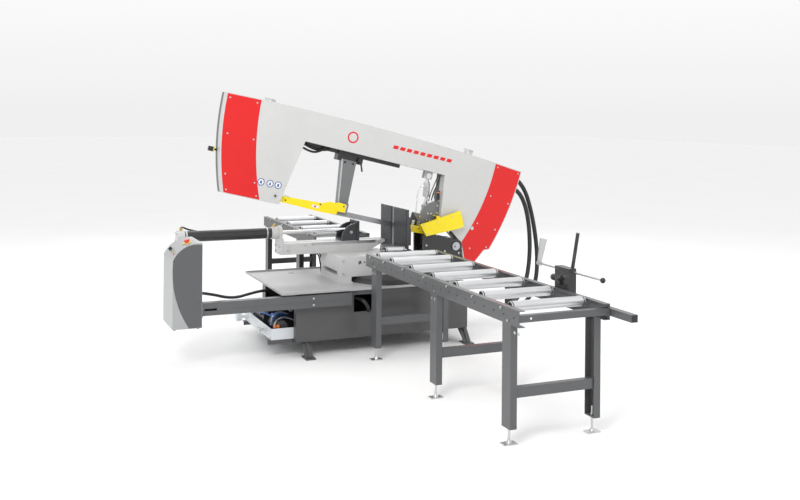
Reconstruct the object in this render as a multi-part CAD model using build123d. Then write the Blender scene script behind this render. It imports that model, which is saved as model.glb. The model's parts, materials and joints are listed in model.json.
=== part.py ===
from build123d import *
import math
import os

# Semi-automatic double-mitre horizontal band saw with outfeed and infeed roller tables.
# Millimetres, +Z up. X runs along the saw bow, its pivot at +X. Material travels from +Y (infeed)
# to -Y (outfeed). Dimensions are laid out from the mitre axis, where the blade meets the face of
# the fixed jaws; the exported origin is the centre of the anchor holes, on the floor.
# The bow stands raised by bow_tilt, as it is parked between cuts.

# ---- driving dimensions: whole machine ----
table_height = 780.0        # top of every roller and of the vise bed
bow_tilt = 13.3             # how far the parked bow is raised above its end-of-cut position
slip = 0.05                 # radial running clearance of a shaft in its bore
air = 3.0                   # plain gap between parts that pass each other

# ---- base cabinet, feet and tray ----
base_left, base_right = -937.0, 495.0
base_front, base_rear = -392.0, 548.0
base_bottom, base_top = 115.0, 480.0
sheet = 5.0
foot_left, foot_right = -850.0, 470.0
bay_height = 300.0          # opening in the left wall for the pull-out tray
chute_x, chute_z = -400.0, 375.0
chute_width, chute_height = 157.0, 130.0
foot_spread = 60.0
foot_plate, foot_width = 12.0, 74.0
anchor_hole_r = 9.0
tray_left, tray_right = -1060.0, 430.0
tray_front, tray_rear = -432.0, 642.0
tray_sheet, tray_rim = 4.0, 18.0

# ---- mitre ring, turntable and fixed centre column ----
ring_r, ring_bore_r, ring_height = 385.0, 262.0, 26.0
disc_r, disc_height = 370.0, 19.0
column_r = 118.0
column_gap = 4.0
arm_width, arm_below_pivot = 190.0, 87.0
arm_start, arm_end = 205.0, 580.0

# ---- vise: pedestal, beam, cylinder and jaws ----
pedestal_left, pedestal_right = -509.0, -20.0
pedestal_front, pedestal_rear = -132.0, 300.0
beam_front, beam_depth, beam_height = 138.0, 155.0, 90.0
beam_left, beam_right = -880.0, -6.0
jaw_opening = 237.0
jaw_open_travel, jaw_close_travel = 273.0, 227.0
moving_jaw_height, moving_jaw_plate, gusset_r = 160.0, 22.0, 128.0
fixed_jaw_height, fixed_jaw_plate = 285.0, 15.0
blade_slot = 40.0
front_jaw_length, rear_jaw_length = 286.0, 225.0
cylinder_r, cylinder_bore_r, rod_r = 43.0, 34.0, 15.0
cylinder_length, cap_length = 690.0, 58.0
cylinder_z_above_bed = 82.0

# ---- bow, in its end-of-cut position ----
pivot_x, pivot_drop = 532.0, 53.0           # the pivot lies below the table surface
pivot_z = table_height - pivot_drop
arm_top = pivot_z - arm_below_pivot
bow_front, cover_depth, frame_back = -75.0, 83.0, 75.0
cover_sheet, frame_wall = 3.0, 8.0
beam_under = table_height + 501.0
wheel_r, wheel_width, wheel_rise = 250.0, 44.0, 350.0
wheel_z = table_height + wheel_rise
idler_x, driver_x = -1300.0, 630.0
blade_width, blade_thick = 41.0, 1.3
blade_z = table_height + 9.0
shaft_r = 25.0
tension_x, tension_y, tension_stem_r = -1586.0, 54.5, 8.0
tension_z = wheel_z - 68.0
straight_from, straight_to = -650.0, 215.0
guide_x = -504.0
fixed_guide_left, fixed_guide_right = 112.0, 205.0
guide_head_height, guide_head_width = 96.0, 64.0
cheek_thick, cheek_inner = 18.0, 82.0
pin_r = 22.0
lift_y = 40.0
lift_foot_x, lift_foot_rise = 300.0, 50.0
lift_foot_z = arm_top + lift_foot_rise
lift_eye_x, lift_eye_drop = 203.0, 35.0     # on the lowered bow: place along it, depth under the beam
lift_r, lift_rod_r, lift_barrel = 29.0, 14.0, 340.0
hose_r = 19.0
hose_a_y, hose_b_y = 150.0, 112.0
hose_block_left, hose_block_right = 1050.0, 1121.0
hose_port_left, hose_port_right = 500.0, 571.0

# ---- roller tables ----
roller_r, roller_gap = 30.0, 16.0
axle_r = 8.0
rail_height, rail_flange, rail_sheet = 92.0, 38.0, 4.0
outfeed_left, outfeed_width = -417.0, 594.0
outfeed_near, outfeed_far = -2754.0, -482.0
outfeed_pitch, outfeed_last_pitch = 345.0, 262.0
outfeed_first = 192.0
infeed_left, infeed_width = -447.0, 510.0
infeed_near, infeed_far = 660.0, 2290.0
infeed_pitch, infeed_first = 395.0, 180.0
leg_depth, leg_web, leg_sheet = 94.0, 43.0, 4.0
leg_bottom = 92.0
stud_r, pad_size, pad_thick = 7.0, 84.0, 6.0

# ---- length stop on the outfeed table ----
stop_bar = 42.0
stop_rod_r = 6.5
stop_y = -2255.0
stop_rod_z = table_height + 92.0

# ---- control console ----
console_left, console_width = -1863.0, 208.0
console_front, console_depth = -472.0, 372.0
console_bottom, console_low, console_high = 300.0, 786.0, 900.0
console_arm_height, console_arm_depth = 92.0, 60.0
console_arm_z = 378.0

# ---- pull-out hydraulic tray ----
drawer_left, drawer_length = -1107.0, 470.0
drawer_front, drawer_depth = -322.0, 770.0
drawer_bottom, drawer_height = 132.0, 84.0
drawer_sheet = 4.0

os.makedirs("parts", exist_ok=True)


anchor_x, anchor_y = (foot_left + foot_right) / 2, (base_front + base_rear) / 2


def bed(height):
    """Level of something that stands this high above the table surface."""
    return table_height + height


def write(shape, node):
    """Export with the origin on the floor at the centre of the four anchor holes."""
    export_step(Pos(-anchor_x, -anchor_y, 0) * shape, f"parts/{node}.step")


def block(x0, x1, y0, y1, z0, z1):
    return Pos((x0 + x1) / 2, (y0 + y1) / 2, (z0 + z1) / 2) * Box(x1 - x0, y1 - y0, z1 - z0)


def rod_x(x0, x1, y, z, r):
    return Pos((x0 + x1) / 2, y, z) * Rot(0, 90, 0) * Cylinder(r, x1 - x0)


def rod_y(x, y0, y1, z, r):
    return Pos(x, (y0 + y1) / 2, z) * Rot(90, 0, 0) * Cylinder(r, y1 - y0)


def rod_z(x, y, z0, z1, r):
    return Pos(x, y, (z0 + z1) / 2) * Cylinder(r, z1 - z0)


def plate_xz(points, y0, y1):
    """A plate with its outline drawn in X and Z, from y0 back to y1."""
    face = make_face(Polyline([(x, y1, z) for x, z in points], close=True))
    return extrude(face, amount=y1 - y0, dir=(0, -1, 0))


def plate_yz(points, x0, x1):
    face = make_face(Polyline([(x0, y, z) for y, z in points], close=True))
    return extrude(face, amount=x1 - x0, dir=(1, 0, 0))


def plate_xy(points, z0, z1):
    face = make_face(Polyline([(x, y, z0) for x, y in points], close=True))
    return extrude(face, amount=z1 - z0, dir=(0, 0, 1))


def group(shapes):
    return Compound([solid for shape in shapes for solid in shape.solids()])


def hex_bolt(x, y, z, axis, width=18.0, height=9.0):
    """Hexagon head whose seat is at the point, standing out along axis."""
    head = extrude(Plane((x, y, z), z_dir=axis) * RegularPolygon(width / 2, 6), amount=height)
    return head


def socket_bolt(x, y, z, axis, r=8.0, height=8.0):
    place = Plane((x, y, z), z_dir=axis)
    head = extrude(place * Circle(r), amount=height)
    socket = extrude(place.offset(height / 2) * RegularPolygon(r / 2, 6), amount=height)
    return head - socket


# ---------------------------------------------------------------- base cabinet
def make_base_frame():
    cabinet = block(base_left, base_right, base_front, base_rear, base_bottom, base_top)
    inside = block(base_left + sheet, base_right - sheet, base_front + sheet, base_rear - sheet,
                   base_bottom + sheet, base_top - sheet)
    bay = block(base_left - 1, base_left + sheet + 1, drawer_front - 14, drawer_front + drawer_depth + 14,
                base_bottom + sheet, base_bottom + bay_height)
    chute = block(chute_x - chute_width / 2, chute_x + chute_width / 2, base_front - 1,
                  base_front + sheet + 1, chute_z - chute_height / 2, chute_z + chute_height / 2)
    service_door = block(base_right - sheet - 1, base_right + 1, -180, 240, 190, 400)
    cabinet = cabinet - inside - bay - chute - service_door
    ledge = block(-229, 173, base_front - 8, base_front, 230, 238)
    runner_top = drawer_bottom - 1
    runner_out = drawer_left - 24
    runners = []
    for y0 in (drawer_front + 6, drawer_front + drawer_depth - 46):
        runners.append(block(runner_out, base_left + sheet, y0, y0 + 40, runner_top - 6, runner_top))
        runners.append(block(runner_out, base_left, y0, y0 + 6, runner_top - 32, runner_top))
        runners.append(block(base_left, -600, y0, y0 + 40, base_bottom, runner_top))
    frame = cabinet + ledge
    for runner in runners:
        frame = frame + runner
    return frame


def make_foot(x, side):
    """A splayed foot under one corner; side is -1 at the front and +1 at the rear."""
    edge = base_front if side < 0 else base_rear
    outer, inner = edge + side * foot_spread, edge - side * 150
    web = plate_yz([(inner, base_bottom), (edge - side * 8, base_bottom), (outer, foot_plate),
                    (edge - side * 12, foot_plate)], x - 5, x + 5)
    rib = plate_yz([(edge - side * 42, base_bottom), (edge - side * 30, base_bottom),
                    (outer - side * 8, foot_plate), (outer - side * 20, foot_plate)],
                   x - foot_width / 2 + 6, x + foot_width / 2 - 6)
    sole = block(x - foot_width / 2, x + foot_width / 2, min(edge - side * 20, outer + side * 42),
                 max(edge - side * 20, outer + side * 42), 0, foot_plate)
    hole = rod_z(x, outer + side * 22, -1, foot_plate + 1, anchor_hole_r)
    return web + rib + sole - hole


def make_chip_tray():
    tray = block(tray_left, tray_right, tray_front, tray_rear, base_top, base_top + tray_rim)
    hollow = block(tray_left + 6, tray_right - 6, tray_front + 6, tray_rear - 6,
                   base_top + tray_sheet, base_top + tray_rim + 1)
    return tray - hollow - rod_z(0, 0, base_top - 1, base_top + tray_rim, ring_bore_r)


tray_floor = base_top + tray_sheet
ring_top = tray_floor + ring_height
disc_bottom = ring_top + 1
disc_top = disc_bottom + disc_height
bridge_bottom = disc_top + air
bed_top = table_height - beam_height


def make_swivel_ring():
    ring = Pos(0, 0, tray_floor + ring_height / 2) * Cylinder(ring_r, ring_height)
    bolt_holes = [rod_z(320 * math.cos(a), 320 * math.sin(a), ring_top - 8, ring_top + 1, 7)
                  for a in [math.radians(45 * i + 22.5) for i in range(8)]]
    ring = ring - Pos(0, 0, tray_floor + ring_height / 2) * Cylinder(ring_bore_r, ring_height)
    for hole in bolt_holes:
        ring = ring - hole
    return ring


# ---------------------------------------------------------------- vise
def make_vise_pedestal():
    """Casting that bridges the turntable from its foot on the tray to the centre column."""
    foot_right = -math.sqrt(ring_r ** 2 - pedestal_front ** 2) - 40
    foot = block(pedestal_left, foot_right, pedestal_front, pedestal_rear, tray_floor, bed_top)
    bridge = block(pedestal_left, pedestal_right, pedestal_front, pedestal_rear, bridge_bottom, bed_top)
    lip = block(pedestal_left + 12, foot_right, pedestal_front - 26, pedestal_front, tray_floor, tray_floor + 14)
    column = rod_z(0, 0, base_top, bridge_bottom, column_r)
    neck = block(-column_r, 46, -110, 110, bridge_bottom, bed_top)
    body = foot + bridge + lip + column + neck
    body = body - rod_y(-330, pedestal_front - 1, pedestal_front + 40, 640, 15)
    body = body - rod_y(-292, pedestal_front - 1, pedestal_front + 24, 641, 7)
    lightening = block(pedestal_left - 1, pedestal_left + 60, pedestal_front + 40, pedestal_rear - 60,
                       tray_floor + 60, tray_floor + 92)
    return body - lightening


def make_vise_beam():
    top = table_height
    outline = [(beam_left, bed_top), (beam_right - 148, bed_top), (beam_right, top - 16), (beam_right, top),
               (beam_left, top)]
    beam = plate_xz(outline, beam_front, beam_front + beam_depth)
    slot_y = beam_front + beam_depth / 2
    groove = block(beam_left - 1, beam_right + 1, slot_y - 12, slot_y + 12, top - 30, top + 1)
    tee = block(beam_left - 1, beam_right + 1, slot_y - 24, slot_y + 24, top - 46, top - 29)
    web = block(pedestal_left - 40, -180, beam_front + 20, beam_front + beam_depth - 20, bed_top - 1, bed_top + 1)
    return beam - groove - tee - web


vise_y = beam_front + beam_depth / 2
vise_z = table_height + cylinder_z_above_bed
jaw_face = -jaw_opening
jaw_back = jaw_face - moving_jaw_plate
boss_length, rod_grip = 44.0, 12.0


def make_vise_end_fittings():
    """End bracket on the beam that carries the cylinder, and the cylinder's two end caps."""
    x0 = beam_left - 26
    bracket = block(x0, beam_left, beam_front - 6, beam_front + beam_depth + 6, bed_top, table_height + 40)
    head = rod_x(x0, beam_left, vise_y, vise_z, 56) + block(x0, beam_left, vise_y - 50, vise_y + 50,
                                                           table_height, vise_z)
    gland_r = rod_r + slip
    bracket = bracket + head
    front_cap = rod_x(x0 - cap_length, x0, vise_y, vise_z, cylinder_r + 6)
    front_cap = front_cap - rod_x(x0 - cap_length - 1, x0 - cap_length + 22, vise_y, vise_z, cylinder_bore_r)
    bracket = (bracket + front_cap) - rod_x(x0 - cap_length - 1, beam_left + 1, vise_y, vise_z, gland_r)
    far = x0 - cap_length - cylinder_length
    rear_cap = rod_x(far - cap_length, far, vise_y, vise_z, cylinder_r + 6)
    rear_cap = rear_cap - rod_x(far - 24, far + 1, vise_y, vise_z, cylinder_bore_r)
    return group([bracket, rear_cap])


def make_vise_cylinder():
    x1 = beam_left - 26 - cap_length
    barrel = rod_x(x1 - cylinder_length, x1, vise_y, vise_z, cylinder_r)
    return barrel - rod_x(x1 - cylinder_length - 1, x1 + 1, vise_y, vise_z, cylinder_bore_r)


def make_vise_rod():
    """Piston and chromed rod that push the moving jaw."""
    x0 = beam_left - 26 - cap_length - jaw_open_travel - 70
    rod = rod_x(x0, jaw_back - boss_length + rod_grip, vise_y, vise_z, rod_r)
    piston = rod_x(x0 - 30, x0, vise_y, vise_z, cylinder_bore_r - slip)
    return rod + piston


def make_moving_jaw():
    top = table_height + moving_jaw_height
    gap = 0.5
    plate = block(jaw_face - moving_jaw_plate, jaw_face, beam_front - 8, beam_front + beam_depth + 8,
                  table_height + gap, top)
    z0 = table_height + gap
    quarter = [(jaw_face - moving_jaw_plate, z0)]
    for i in range(13):
        a = math.radians(90 + 7.5 * i)
        quarter.append((jaw_face - moving_jaw_plate + gusset_r * math.cos(a),
                        z0 + 12 + gusset_r * math.sin(a)))
    quarter.append((jaw_face - moving_jaw_plate - gusset_r, z0))
    ribs = [plate_xz(quarter, y, y + 18) for y in (beam_front, beam_front + beam_depth - 18)]
    sole = block(jaw_face - moving_jaw_plate - gusset_r, jaw_face, beam_front, beam_front + beam_depth,
                 z0, z0 + 16)
    boss = block(jaw_back - boss_length, jaw_back + 1, vise_y - 2 * rod_r, vise_y + 2 * rod_r, z0,
                 vise_z + 2 * rod_r)
    bore = rod_x(jaw_back - boss_length - 1, jaw_back - boss_length + rod_grip, vise_y, vise_z, rod_r)
    tongue = block(jaw_face - 120, jaw_face - 20, vise_y - 11.5, vise_y + 11.5, table_height - 28, z0)
    jaw = plate + ribs[0] + ribs[1] + sole + boss + tongue
    return jaw - bore


def make_fixed_jaws():
    """Two jaw plates, one each side of the blade slot, with their ribs and their seat."""
    z0, top = bed_top, table_height + fixed_jaw_height
    jaws = []
    for side, length in ((-1, front_jaw_length), (1, rear_jaw_length)):
        near = side * blade_slot / 2
        far = near + side * length
        y0, y1 = sorted((near, far))
        plate = block(0, fixed_jaw_plate, y0, y1, z0 + 60, top)
        r0, r1 = sorted((near + side * 120, far - side * 10))
        rib = plate_xz([(fixed_jaw_plate, table_height), (38, table_height), (38, table_height + 120),
                        (fixed_jaw_plate, top - 40)], r0, r1)
        jaws.append(plate + rib)
    seat = block(0, 38, -70, 70, z0, z0 + 60)
    bars = block(0, 38, -blade_slot / 2 - front_jaw_length, blade_slot / 2 + rear_jaw_length, z0 + 25, z0 + 60)
    return jaws[0] + jaws[1] + seat + bars


def make_table_frame():
    """Short table between the blade slot and the outfeed: slanted side plate, end plate, cross bar."""
    front, back = -440.0, -30.0
    left_far, left_near = -120.0, -262.0
    deck = plate_xy([(left_far, back), (-air, back), (-air, -230), (left_far - 66, -230)],
                    table_height - 30, table_height - 19)
    side = plate_xy([(left_far, back), (left_far + 9, back), (left_near + 9, front), (left_near, front)],
                    table_height - 82, table_height - 19)
    right = block(-12 - air, -air, front, -230, table_height - 82, table_height - 34)
    cross = block(left_near, 60, front, front + 40, table_height - 82, table_height - 22)
    web = block(-120, -air, -225, back, bed_top, table_height - 19)
    frame = deck + side + right + cross + web
    axle_y, axle_z = -300.0, table_height - roller_r
    return frame - rod_x(-300, 20, axle_y, axle_z, axle_r + slip)


def make_table_roller():
    tube = rod_x(-188, -28, -300, table_height - roller_r, roller_r)
    return tube + rod_x(-219, -air - 1, -300, table_height - roller_r, axle_r)


# ---------------------------------------------------------------- bow outline, end-of-cut position
def bow_profile():
    """Closed outline of the bow in X and Z, with the window and the opening for the stock."""
    y = 0.0
    edges = [
        ThreePointArc((-1634, y, bed(724)), (-500, y, bed(746)), (1017, y, bed(686))),
        ThreePointArc((1017, y, bed(686)), (975, y, bed(356)), (865, y, bed(-26))),
        Polyline((865, y, bed(-26)), (818, y, bed(-43)), (747, y, bed(-167)), (647, y, bed(-157)),
                 (584, y, bed(-12)), (352, y, bed(145)),
                 (306, y, beam_under), (-940, y, beam_under), (-1034, y, bed(-23)), (-1489, y, bed(-25))),
        ThreePointArc((-1489, y, bed(-25)), (-1579, y, bed(279)), (-1634, y, bed(724))),
    ]
    return make_face(Curve() + edges)


def slab(face, y0, y1):
    return extrude(Pos(0, y1, 0) * face, amount=y1 - y0, dir=(0, -1, 0))


def inset_profile(distance):
    """The bow outline drawn in by a wall."""
    return offset(bow_profile(), amount=-distance)


def park(shape):
    """Turn a piece from the end-of-cut position to the parked position of the bow."""
    return shape.rotate(Axis((pivot_x, 0, pivot_z), (0, 1, 0)), bow_tilt)


def tangent_from(px, pz, cx, cz, r, side):
    """Lower tangent point on a wheel for the strand that leaves a guide end; side is the wheel's side."""
    dx, dz = cx - px, cz - pz
    reach = math.hypot(dx, dz)
    towards = math.atan2(dz, dx)
    swing = math.asin(r / reach)
    heading = towards - side * swing
    length = math.sqrt(reach ** 2 - r ** 2)
    return px + length * math.cos(heading), pz + length * math.sin(heading), heading


def make_blade():
    half = blade_thick / 2
    r_mid = wheel_r + 0.3 + half
    left_x, left_z, left_heading = tangent_from(straight_from, blade_z, idler_x, wheel_z, r_mid, -1)
    right_x, right_z, right_heading = tangent_from(straight_to, blade_z, driver_x, wheel_z, r_mid, 1)
    top_strand = block(idler_x, driver_x, -blade_width / 2, blade_width / 2,
                       wheel_z + r_mid - half, wheel_z + r_mid + half)
    middle = block(straight_from, straight_to, -half, half, blade_z - blade_width / 2, blade_z + blade_width / 2)
    pieces = [top_strand, middle]
    for cx, end_x, end_z, start in ((idler_x, left_x, left_z, 90.0), (driver_x, right_x, right_z, 90.0)):
        ring = rod_y(cx, -blade_width / 2, blade_width / 2, wheel_z, r_mid + half)
        ring = ring - rod_y(cx, -blade_width, blade_width, wheel_z, r_mid - half)
        end = math.degrees(math.atan2(end_z - wheel_z, end_x - cx))
        reach = 3 * wheel_r
        turn = 1 if cx == idler_x else -1
        span = (end - start) * turn % 360
        fan = [(cx, wheel_z)] + [(cx + reach * math.cos(math.radians(start + turn * span * i / 4)),
                                  wheel_z + reach * math.sin(math.radians(start + turn * span * i / 4)))
                                 for i in range(5)]
        pieces.append(ring & plate_xz(fan, -blade_width, blade_width))
    for px, qx, qz, twist in ((straight_from, left_x, left_z, -90.0), (straight_to, right_x, right_z, 90.0)):
        steps = 6
        heading = Vector(qx - px, 0, qz - blade_z)
        sections = []
        for i in range(steps + 1):
            t = i / steps
            roll = Plane((px + (qx - px) * t, 0, blade_z + (qz - blade_z) * t), x_dir=(0, 1, 0), z_dir=heading)
            sections.append(roll.rotated((0, 0, 90 - 90 * t)) * Rectangle(blade_width, blade_thick))
        pieces.append(loft(sections, ruled=True))
    return group([park(p) for p in pieces])


def make_wheel(cx, with_shaft):
    """Cast band wheel: rim, dished web with round holes, hub; the driver carries its own shaft."""
    y0 = -wheel_width / 2
    rim = rod_y(cx, y0, -y0, wheel_z, wheel_r) - rod_y(cx, y0 - 1, -y0 + 1, wheel_z, wheel_r - 26)
    flange = rod_y(cx, -y0 - 4, -y0, wheel_z, wheel_r) - rod_y(cx, -y0 - 5, -y0 + 1, wheel_z, wheel_r - 28)
    web = rod_y(cx, -7, 7, wheel_z, wheel_r - 20)
    hub = rod_y(cx, -30, 30, wheel_z, 52)
    wheel = rim + flange + web + hub
    for i in range(6):
        a = math.radians(60 * i + 30)
        wheel = wheel - rod_y(cx + 140 * math.cos(a), -9, 9, wheel_z + 140 * math.sin(a), 38)
    if with_shaft:
        wheel = wheel + rod_y(cx, 25, frame_back + 40, wheel_z, shaft_r)
        wheel = wheel + rod_y(cx, -36, -28, wheel_z, 30)
    else:
        wheel = wheel - rod_y(cx, -31, 31, wheel_z, shaft_r + slip)
    return park(wheel)


def make_bow_frame():
    """Welded box behind the wheels: front web, back plate and rim walls, pivot hub and cylinder lugs."""
    outer = bow_profile()
    inner = inset_profile(frame_wall)
    web_front = 34.0
    y_open = bow_front + cover_depth + 2
    body = slab(outer, y_open, frame_back)
    body = body - slab(inner, y_open - 1, web_front)
    body = body - slab(inner, web_front + frame_wall, frame_back - frame_wall)
    blade_way_left = block(-1100, -900, y_open - 1, 30, bed(0), bed(125))
    blade_way_right = block(380, 600, y_open - 1, 30, bed(20), bed(105))
    body = body - blade_way_left - blade_way_right
    lug = plate_xz([(pivot_x + 8, pivot_z - 27), (650, pivot_z - 47), (700, pivot_z - 27),
                    (650, pivot_z + 73), (pivot_x, pivot_z + 54)],
                   y_open + 4, cheek_inner - 4)
    hub = rod_y(pivot_x, -cheek_inner + 4, cheek_inner - 4, pivot_z, 56)
    body = body + lug + hub
    body = body - rod_y(pivot_x, -cheek_inner, cheek_inner, pivot_z, pin_r + slip)
    idler_shaft = rod_y(idler_x, -40, web_front + 4, wheel_z, shaft_r)
    idler_pad = block(idler_x - 110, idler_x + 110, 32, web_front + 2, wheel_z - 70, wheel_z + 70)
    body = body + idler_shaft + idler_pad
    body = body - rod_y(driver_x, y_open, frame_back + 1, wheel_z, shaft_r + slip)
    body = body - rod_x(tension_x - 40, tension_x + 60, tension_y, tension_z, tension_stem_r + slip)
    rail = block(-932, -70, 16, 62, beam_under - 29, beam_under)
    body = body + rail
    for hinge_x in (-1268.0, 517.0):
        body = body + block(hinge_x + 12, hinge_x + 44, y_open + 2, y_open + 12, bed(704), hinge_z + 2)
        body = body + rod_x(hinge_x + 12, hinge_x + 44, hinge_y, hinge_z, 9)
    for y0 in (lift_y - 28, lift_y + 14):
        ear = block(lift_eye_x - 34, lift_eye_x + 34, y0, y0 + 14, beam_under - lift_eye_drop - 26, beam_under)
        body = body + ear - rod_y(lift_eye_x, y0 - 1, y0 + 15, beam_under - lift_eye_drop, 18)
    outlet = block(hose_block_left, hose_block_right, frame_back, hose_a_y + hose_r + 4, bed(405), bed(550))
    return park(body) + outlet


hinge_y = bow_front + cover_depth + 4
hinge_z = bed(760)


def park_point(x, z):
    """Where a point of the bow lies once the bow is parked."""
    a = math.radians(bow_tilt)
    dx, dz = x - pivot_x, z - pivot_z
    return (pivot_x + dx * math.cos(a) + dz * math.sin(a), pivot_z - dx * math.sin(a) + dz * math.cos(a))


def make_bow_cover():
    """Sheet-metal front cover over both wheels and the beam, hung on two hinges along its top."""
    back = bow_front + cover_depth
    cover = slab(bow_profile(), bow_front, back)
    cover = cover - slab(inset_profile(cover_sheet), bow_front + cover_sheet, back + 1)
    blade_way = block(-1100, -900, bow_front + cover_sheet + 4, back + 1, bed(-28), bed(125))
    exit_way = block(400, 600, bow_front + cover_sheet + 4, back + 1, bed(10), bed(105))
    cover = cover - blade_way - exit_way
    for hinge_x in (-1268.0, 517.0):
        knuckle = rod_x(hinge_x - 44, hinge_x - 12, hinge_y, hinge_z, 9)
        strap = block(hinge_x - 44, hinge_x - 12, back - 12, back - 3, bed(704), hinge_z)
        pin = rod_x(hinge_x - 14, hinge_x + 10, hinge_y, hinge_z, 5)
        cover = cover + strap + knuckle + pin
    return park(cover)


def make_cover_bands():
    """The two coloured end panels riveted on the front cover."""
    y0, y1 = bow_front - 1.6, bow_front - 0.1
    left = make_face(Curve() + [
        ThreePointArc((-1480, 0, bed(-18)), (-1569, 0, bed(279)), (-1624, 0, bed(717))),
        Line((-1624, 0, bed(717)), (-1358, 0, bed(728))),
        ThreePointArc((-1358, 0, bed(728)), (-1308, 0, bed(340)), (-1194, 0, bed(-18))),
        Line((-1194, 0, bed(-18)), (-1480, 0, bed(-18)))])
    right = make_face(Curve() + [
        ThreePointArc((756, 0, bed(696)), (728, 0, bed(420)), (592, 0, bed(-8))),
        Polyline((592, 0, bed(-8)), (654, 0, bed(-149)), (742, 0, bed(-159)), (812, 0, bed(-36)),
                 (859, 0, bed(-18))),
        ThreePointArc((859, 0, bed(-18)), (968, 0, bed(358)), (1009, 0, bed(678))),
        Line((1009, 0, bed(678)), (756, 0, bed(696)))])
    return group([park(slab(left, y0, y1)), park(slab(right, y0, y1))])


def make_guide_head(x0, x1):
    """Blade guide block with a slot for the blade, open at the bottom."""
    z0 = blade_z - blade_width / 2 + 12
    half = guide_head_width / 2
    head = block(x0, x1, -half, half, z0, z0 + guide_head_height)
    slot = block(x0 - 1, x1 + 1, -1.4, 1.4, z0 - 1, blade_z + blade_width / 2 + 1.5)
    return head - slot


def make_guide_arm():
    """Movable guide: bracket on the rail under the beam, tapered arm and guide head."""
    top = beam_under - air
    bracket = block(guide_x - 118, guide_x + 100, 2, 88, top - 76, top)
    channel = block(guide_x - 119, guide_x + 101, 15.5, 62.5, top - 28, top + 1)
    arm = plate_xz([(guide_x - 86, top - 60), (guide_x + 44, top - 60), (guide_x + 52, blade_z + 70),
                    (guide_x - 36, blade_z + 70)], -8, 46)
    head = make_guide_head(guide_x - 36, guide_x + 52)
    return park(bracket - channel + arm + head)


def make_guide_guard():
    """Blade guard that slides into the idler housing as the movable guide moves."""
    y0, y1 = -40.0, -36.0
    z_low = blade_z - blade_width / 2 + 0.5
    bar = plate_xz([(guide_x - 560, z_low + 12), (guide_x - 150, z_low - 2), (guide_x - 36, z_low + 4),
                    (guide_x - 28, z_low + 60), (guide_x + 16, z_low + 84), (guide_x + 16, z_low + 98),
                    (guide_x - 120, z_low + 92), (guide_x - 172, z_low + 70), (guide_x - 560, z_low + 56)],
                   y0, y1)
    lip = plate_xz([(guide_x - 560, z_low + 53), (guide_x - 172, z_low + 67), (guide_x - 172, z_low + 70),
                    (guide_x - 560, z_low + 56)], y0, y0 + 18)
    tab = block(guide_x - 30, guide_x + 14, y0, -guide_head_width / 2, z_low + 86, z_low + 96)
    return park(bar + lip + tab)


def window_side(z):
    """X of the driver housing's side, towards the window, at a height."""
    return 306 + 46 * (beam_under - z) / (beam_under - bed(145))


def make_fixed_guide():
    """Fixed guide: quarter-round bracket from the driver housing, guide head, coolant block."""
    z_head = blade_z - blade_width / 2 + 12
    top, low, thick = bed(272), bed(150), 20.0
    gap = 2.0
    outline = [(window_side(top) - gap, top)]
    for i in range(10):
        a = math.radians(10 * i)
        outline.append((window_side(top) - 20 - 126 * math.sin(a), top - 126 + 126 * math.cos(a)))
    outline += [(fixed_guide_left, top - 126), (fixed_guide_left, z_head + 60),
                (window_side(low) - gap, z_head + 60), (window_side(low) - gap, low)]
    front = -guide_head_width / 2
    bracket = plate_xz(outline, front, front + 16)
    head = make_guide_head(fixed_guide_left, fixed_guide_right)
    block_top = block(fixed_guide_left + 10, fixed_guide_right - 6, -24, 12, z_head + guide_head_height - 2,
                      z_head + guide_head_height + 36)
    stem = plate_xz([(window_side(top) - thick, top), (window_side(top) - gap, top),
                     (window_side(low) - gap, low), (window_side(low) - thick, low)], front, 14)
    foot = plate_xz([(window_side(top) - thick, top), (window_side(top), top),
                     (window_side(low), low), (window_side(low) - thick, low)], 12, 70)
    return park(bracket + head + block_top + stem + foot)


def make_fixed_guards():
    """Bent guard in front of the fixed guide and the inclined guard box over the twisted strand."""
    small = plate_xz([(118, bed(-18)), (270, bed(-10)), (262, bed(42)), (232, bed(46)), (112, bed(38))],
                     -44, -40)
    small_lip = block(128, 200, -41, -guide_head_width / 2, bed(20), bed(26))
    outline = [(160, bed(55)), (494, bed(240)), (553, bed(113)), (232, bed(-23))]
    box = plate_xz(outline, -138, -104)
    shrink = [(172, bed(52)), (489, bed(228)), (542, bed(118)), (236, bed(-14))]
    box = box - plate_xz(shrink, -135, -103)
    strap = block(300, 330, -106, -guide_head_width / 2, bed(150), bed(158))
    leg = block(300, 330, -107, -103, bed(98), bed(158))
    return group([park(small + small_lip), park(box + leg + strap)])


def make_drive_motor():
    """Worm gearbox and motor on the back of the bow, behind the driven wheel."""
    y0 = frame_back
    gearbox = block(driver_x - 120, driver_x + 120, y0, y0 + 150, wheel_z - 130, wheel_z + 130)
    gearbox = gearbox - rod_y(driver_x, y0, y0 + 60, wheel_z, shaft_r + 2)
    motor = rod_y(driver_x, y0 + 150, y0 + 178, wheel_z, 108) + rod_y(driver_x, y0 + 178, y0 + 420, wheel_z, 92)
    for i in range(16):
        a = math.radians(22.5 * i)
        fin = block(-2, 2, y0 + 190, y0 + 360, 88, 104)
        motor = motor + Pos(driver_x, 0, wheel_z) * Rot(0, 22.5 * i, 0) * fin
    box = block(driver_x - 46, driver_x + 46, y0 + 200, y0 + 310, wheel_z + 84, wheel_z + 136)
    cowl = rod_y(driver_x, y0 + 366, y0 + 440, wheel_z, 102)
    return park(gearbox + motor + box + cowl)


def make_tension_knob():
    knob = rod_x(tension_x - 56, tension_x - 12, tension_y, tension_z, 19)
    stem = rod_x(tension_x - 20, tension_x + 40, tension_y, tension_z, tension_stem_r)
    return park(knob + stem)


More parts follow.
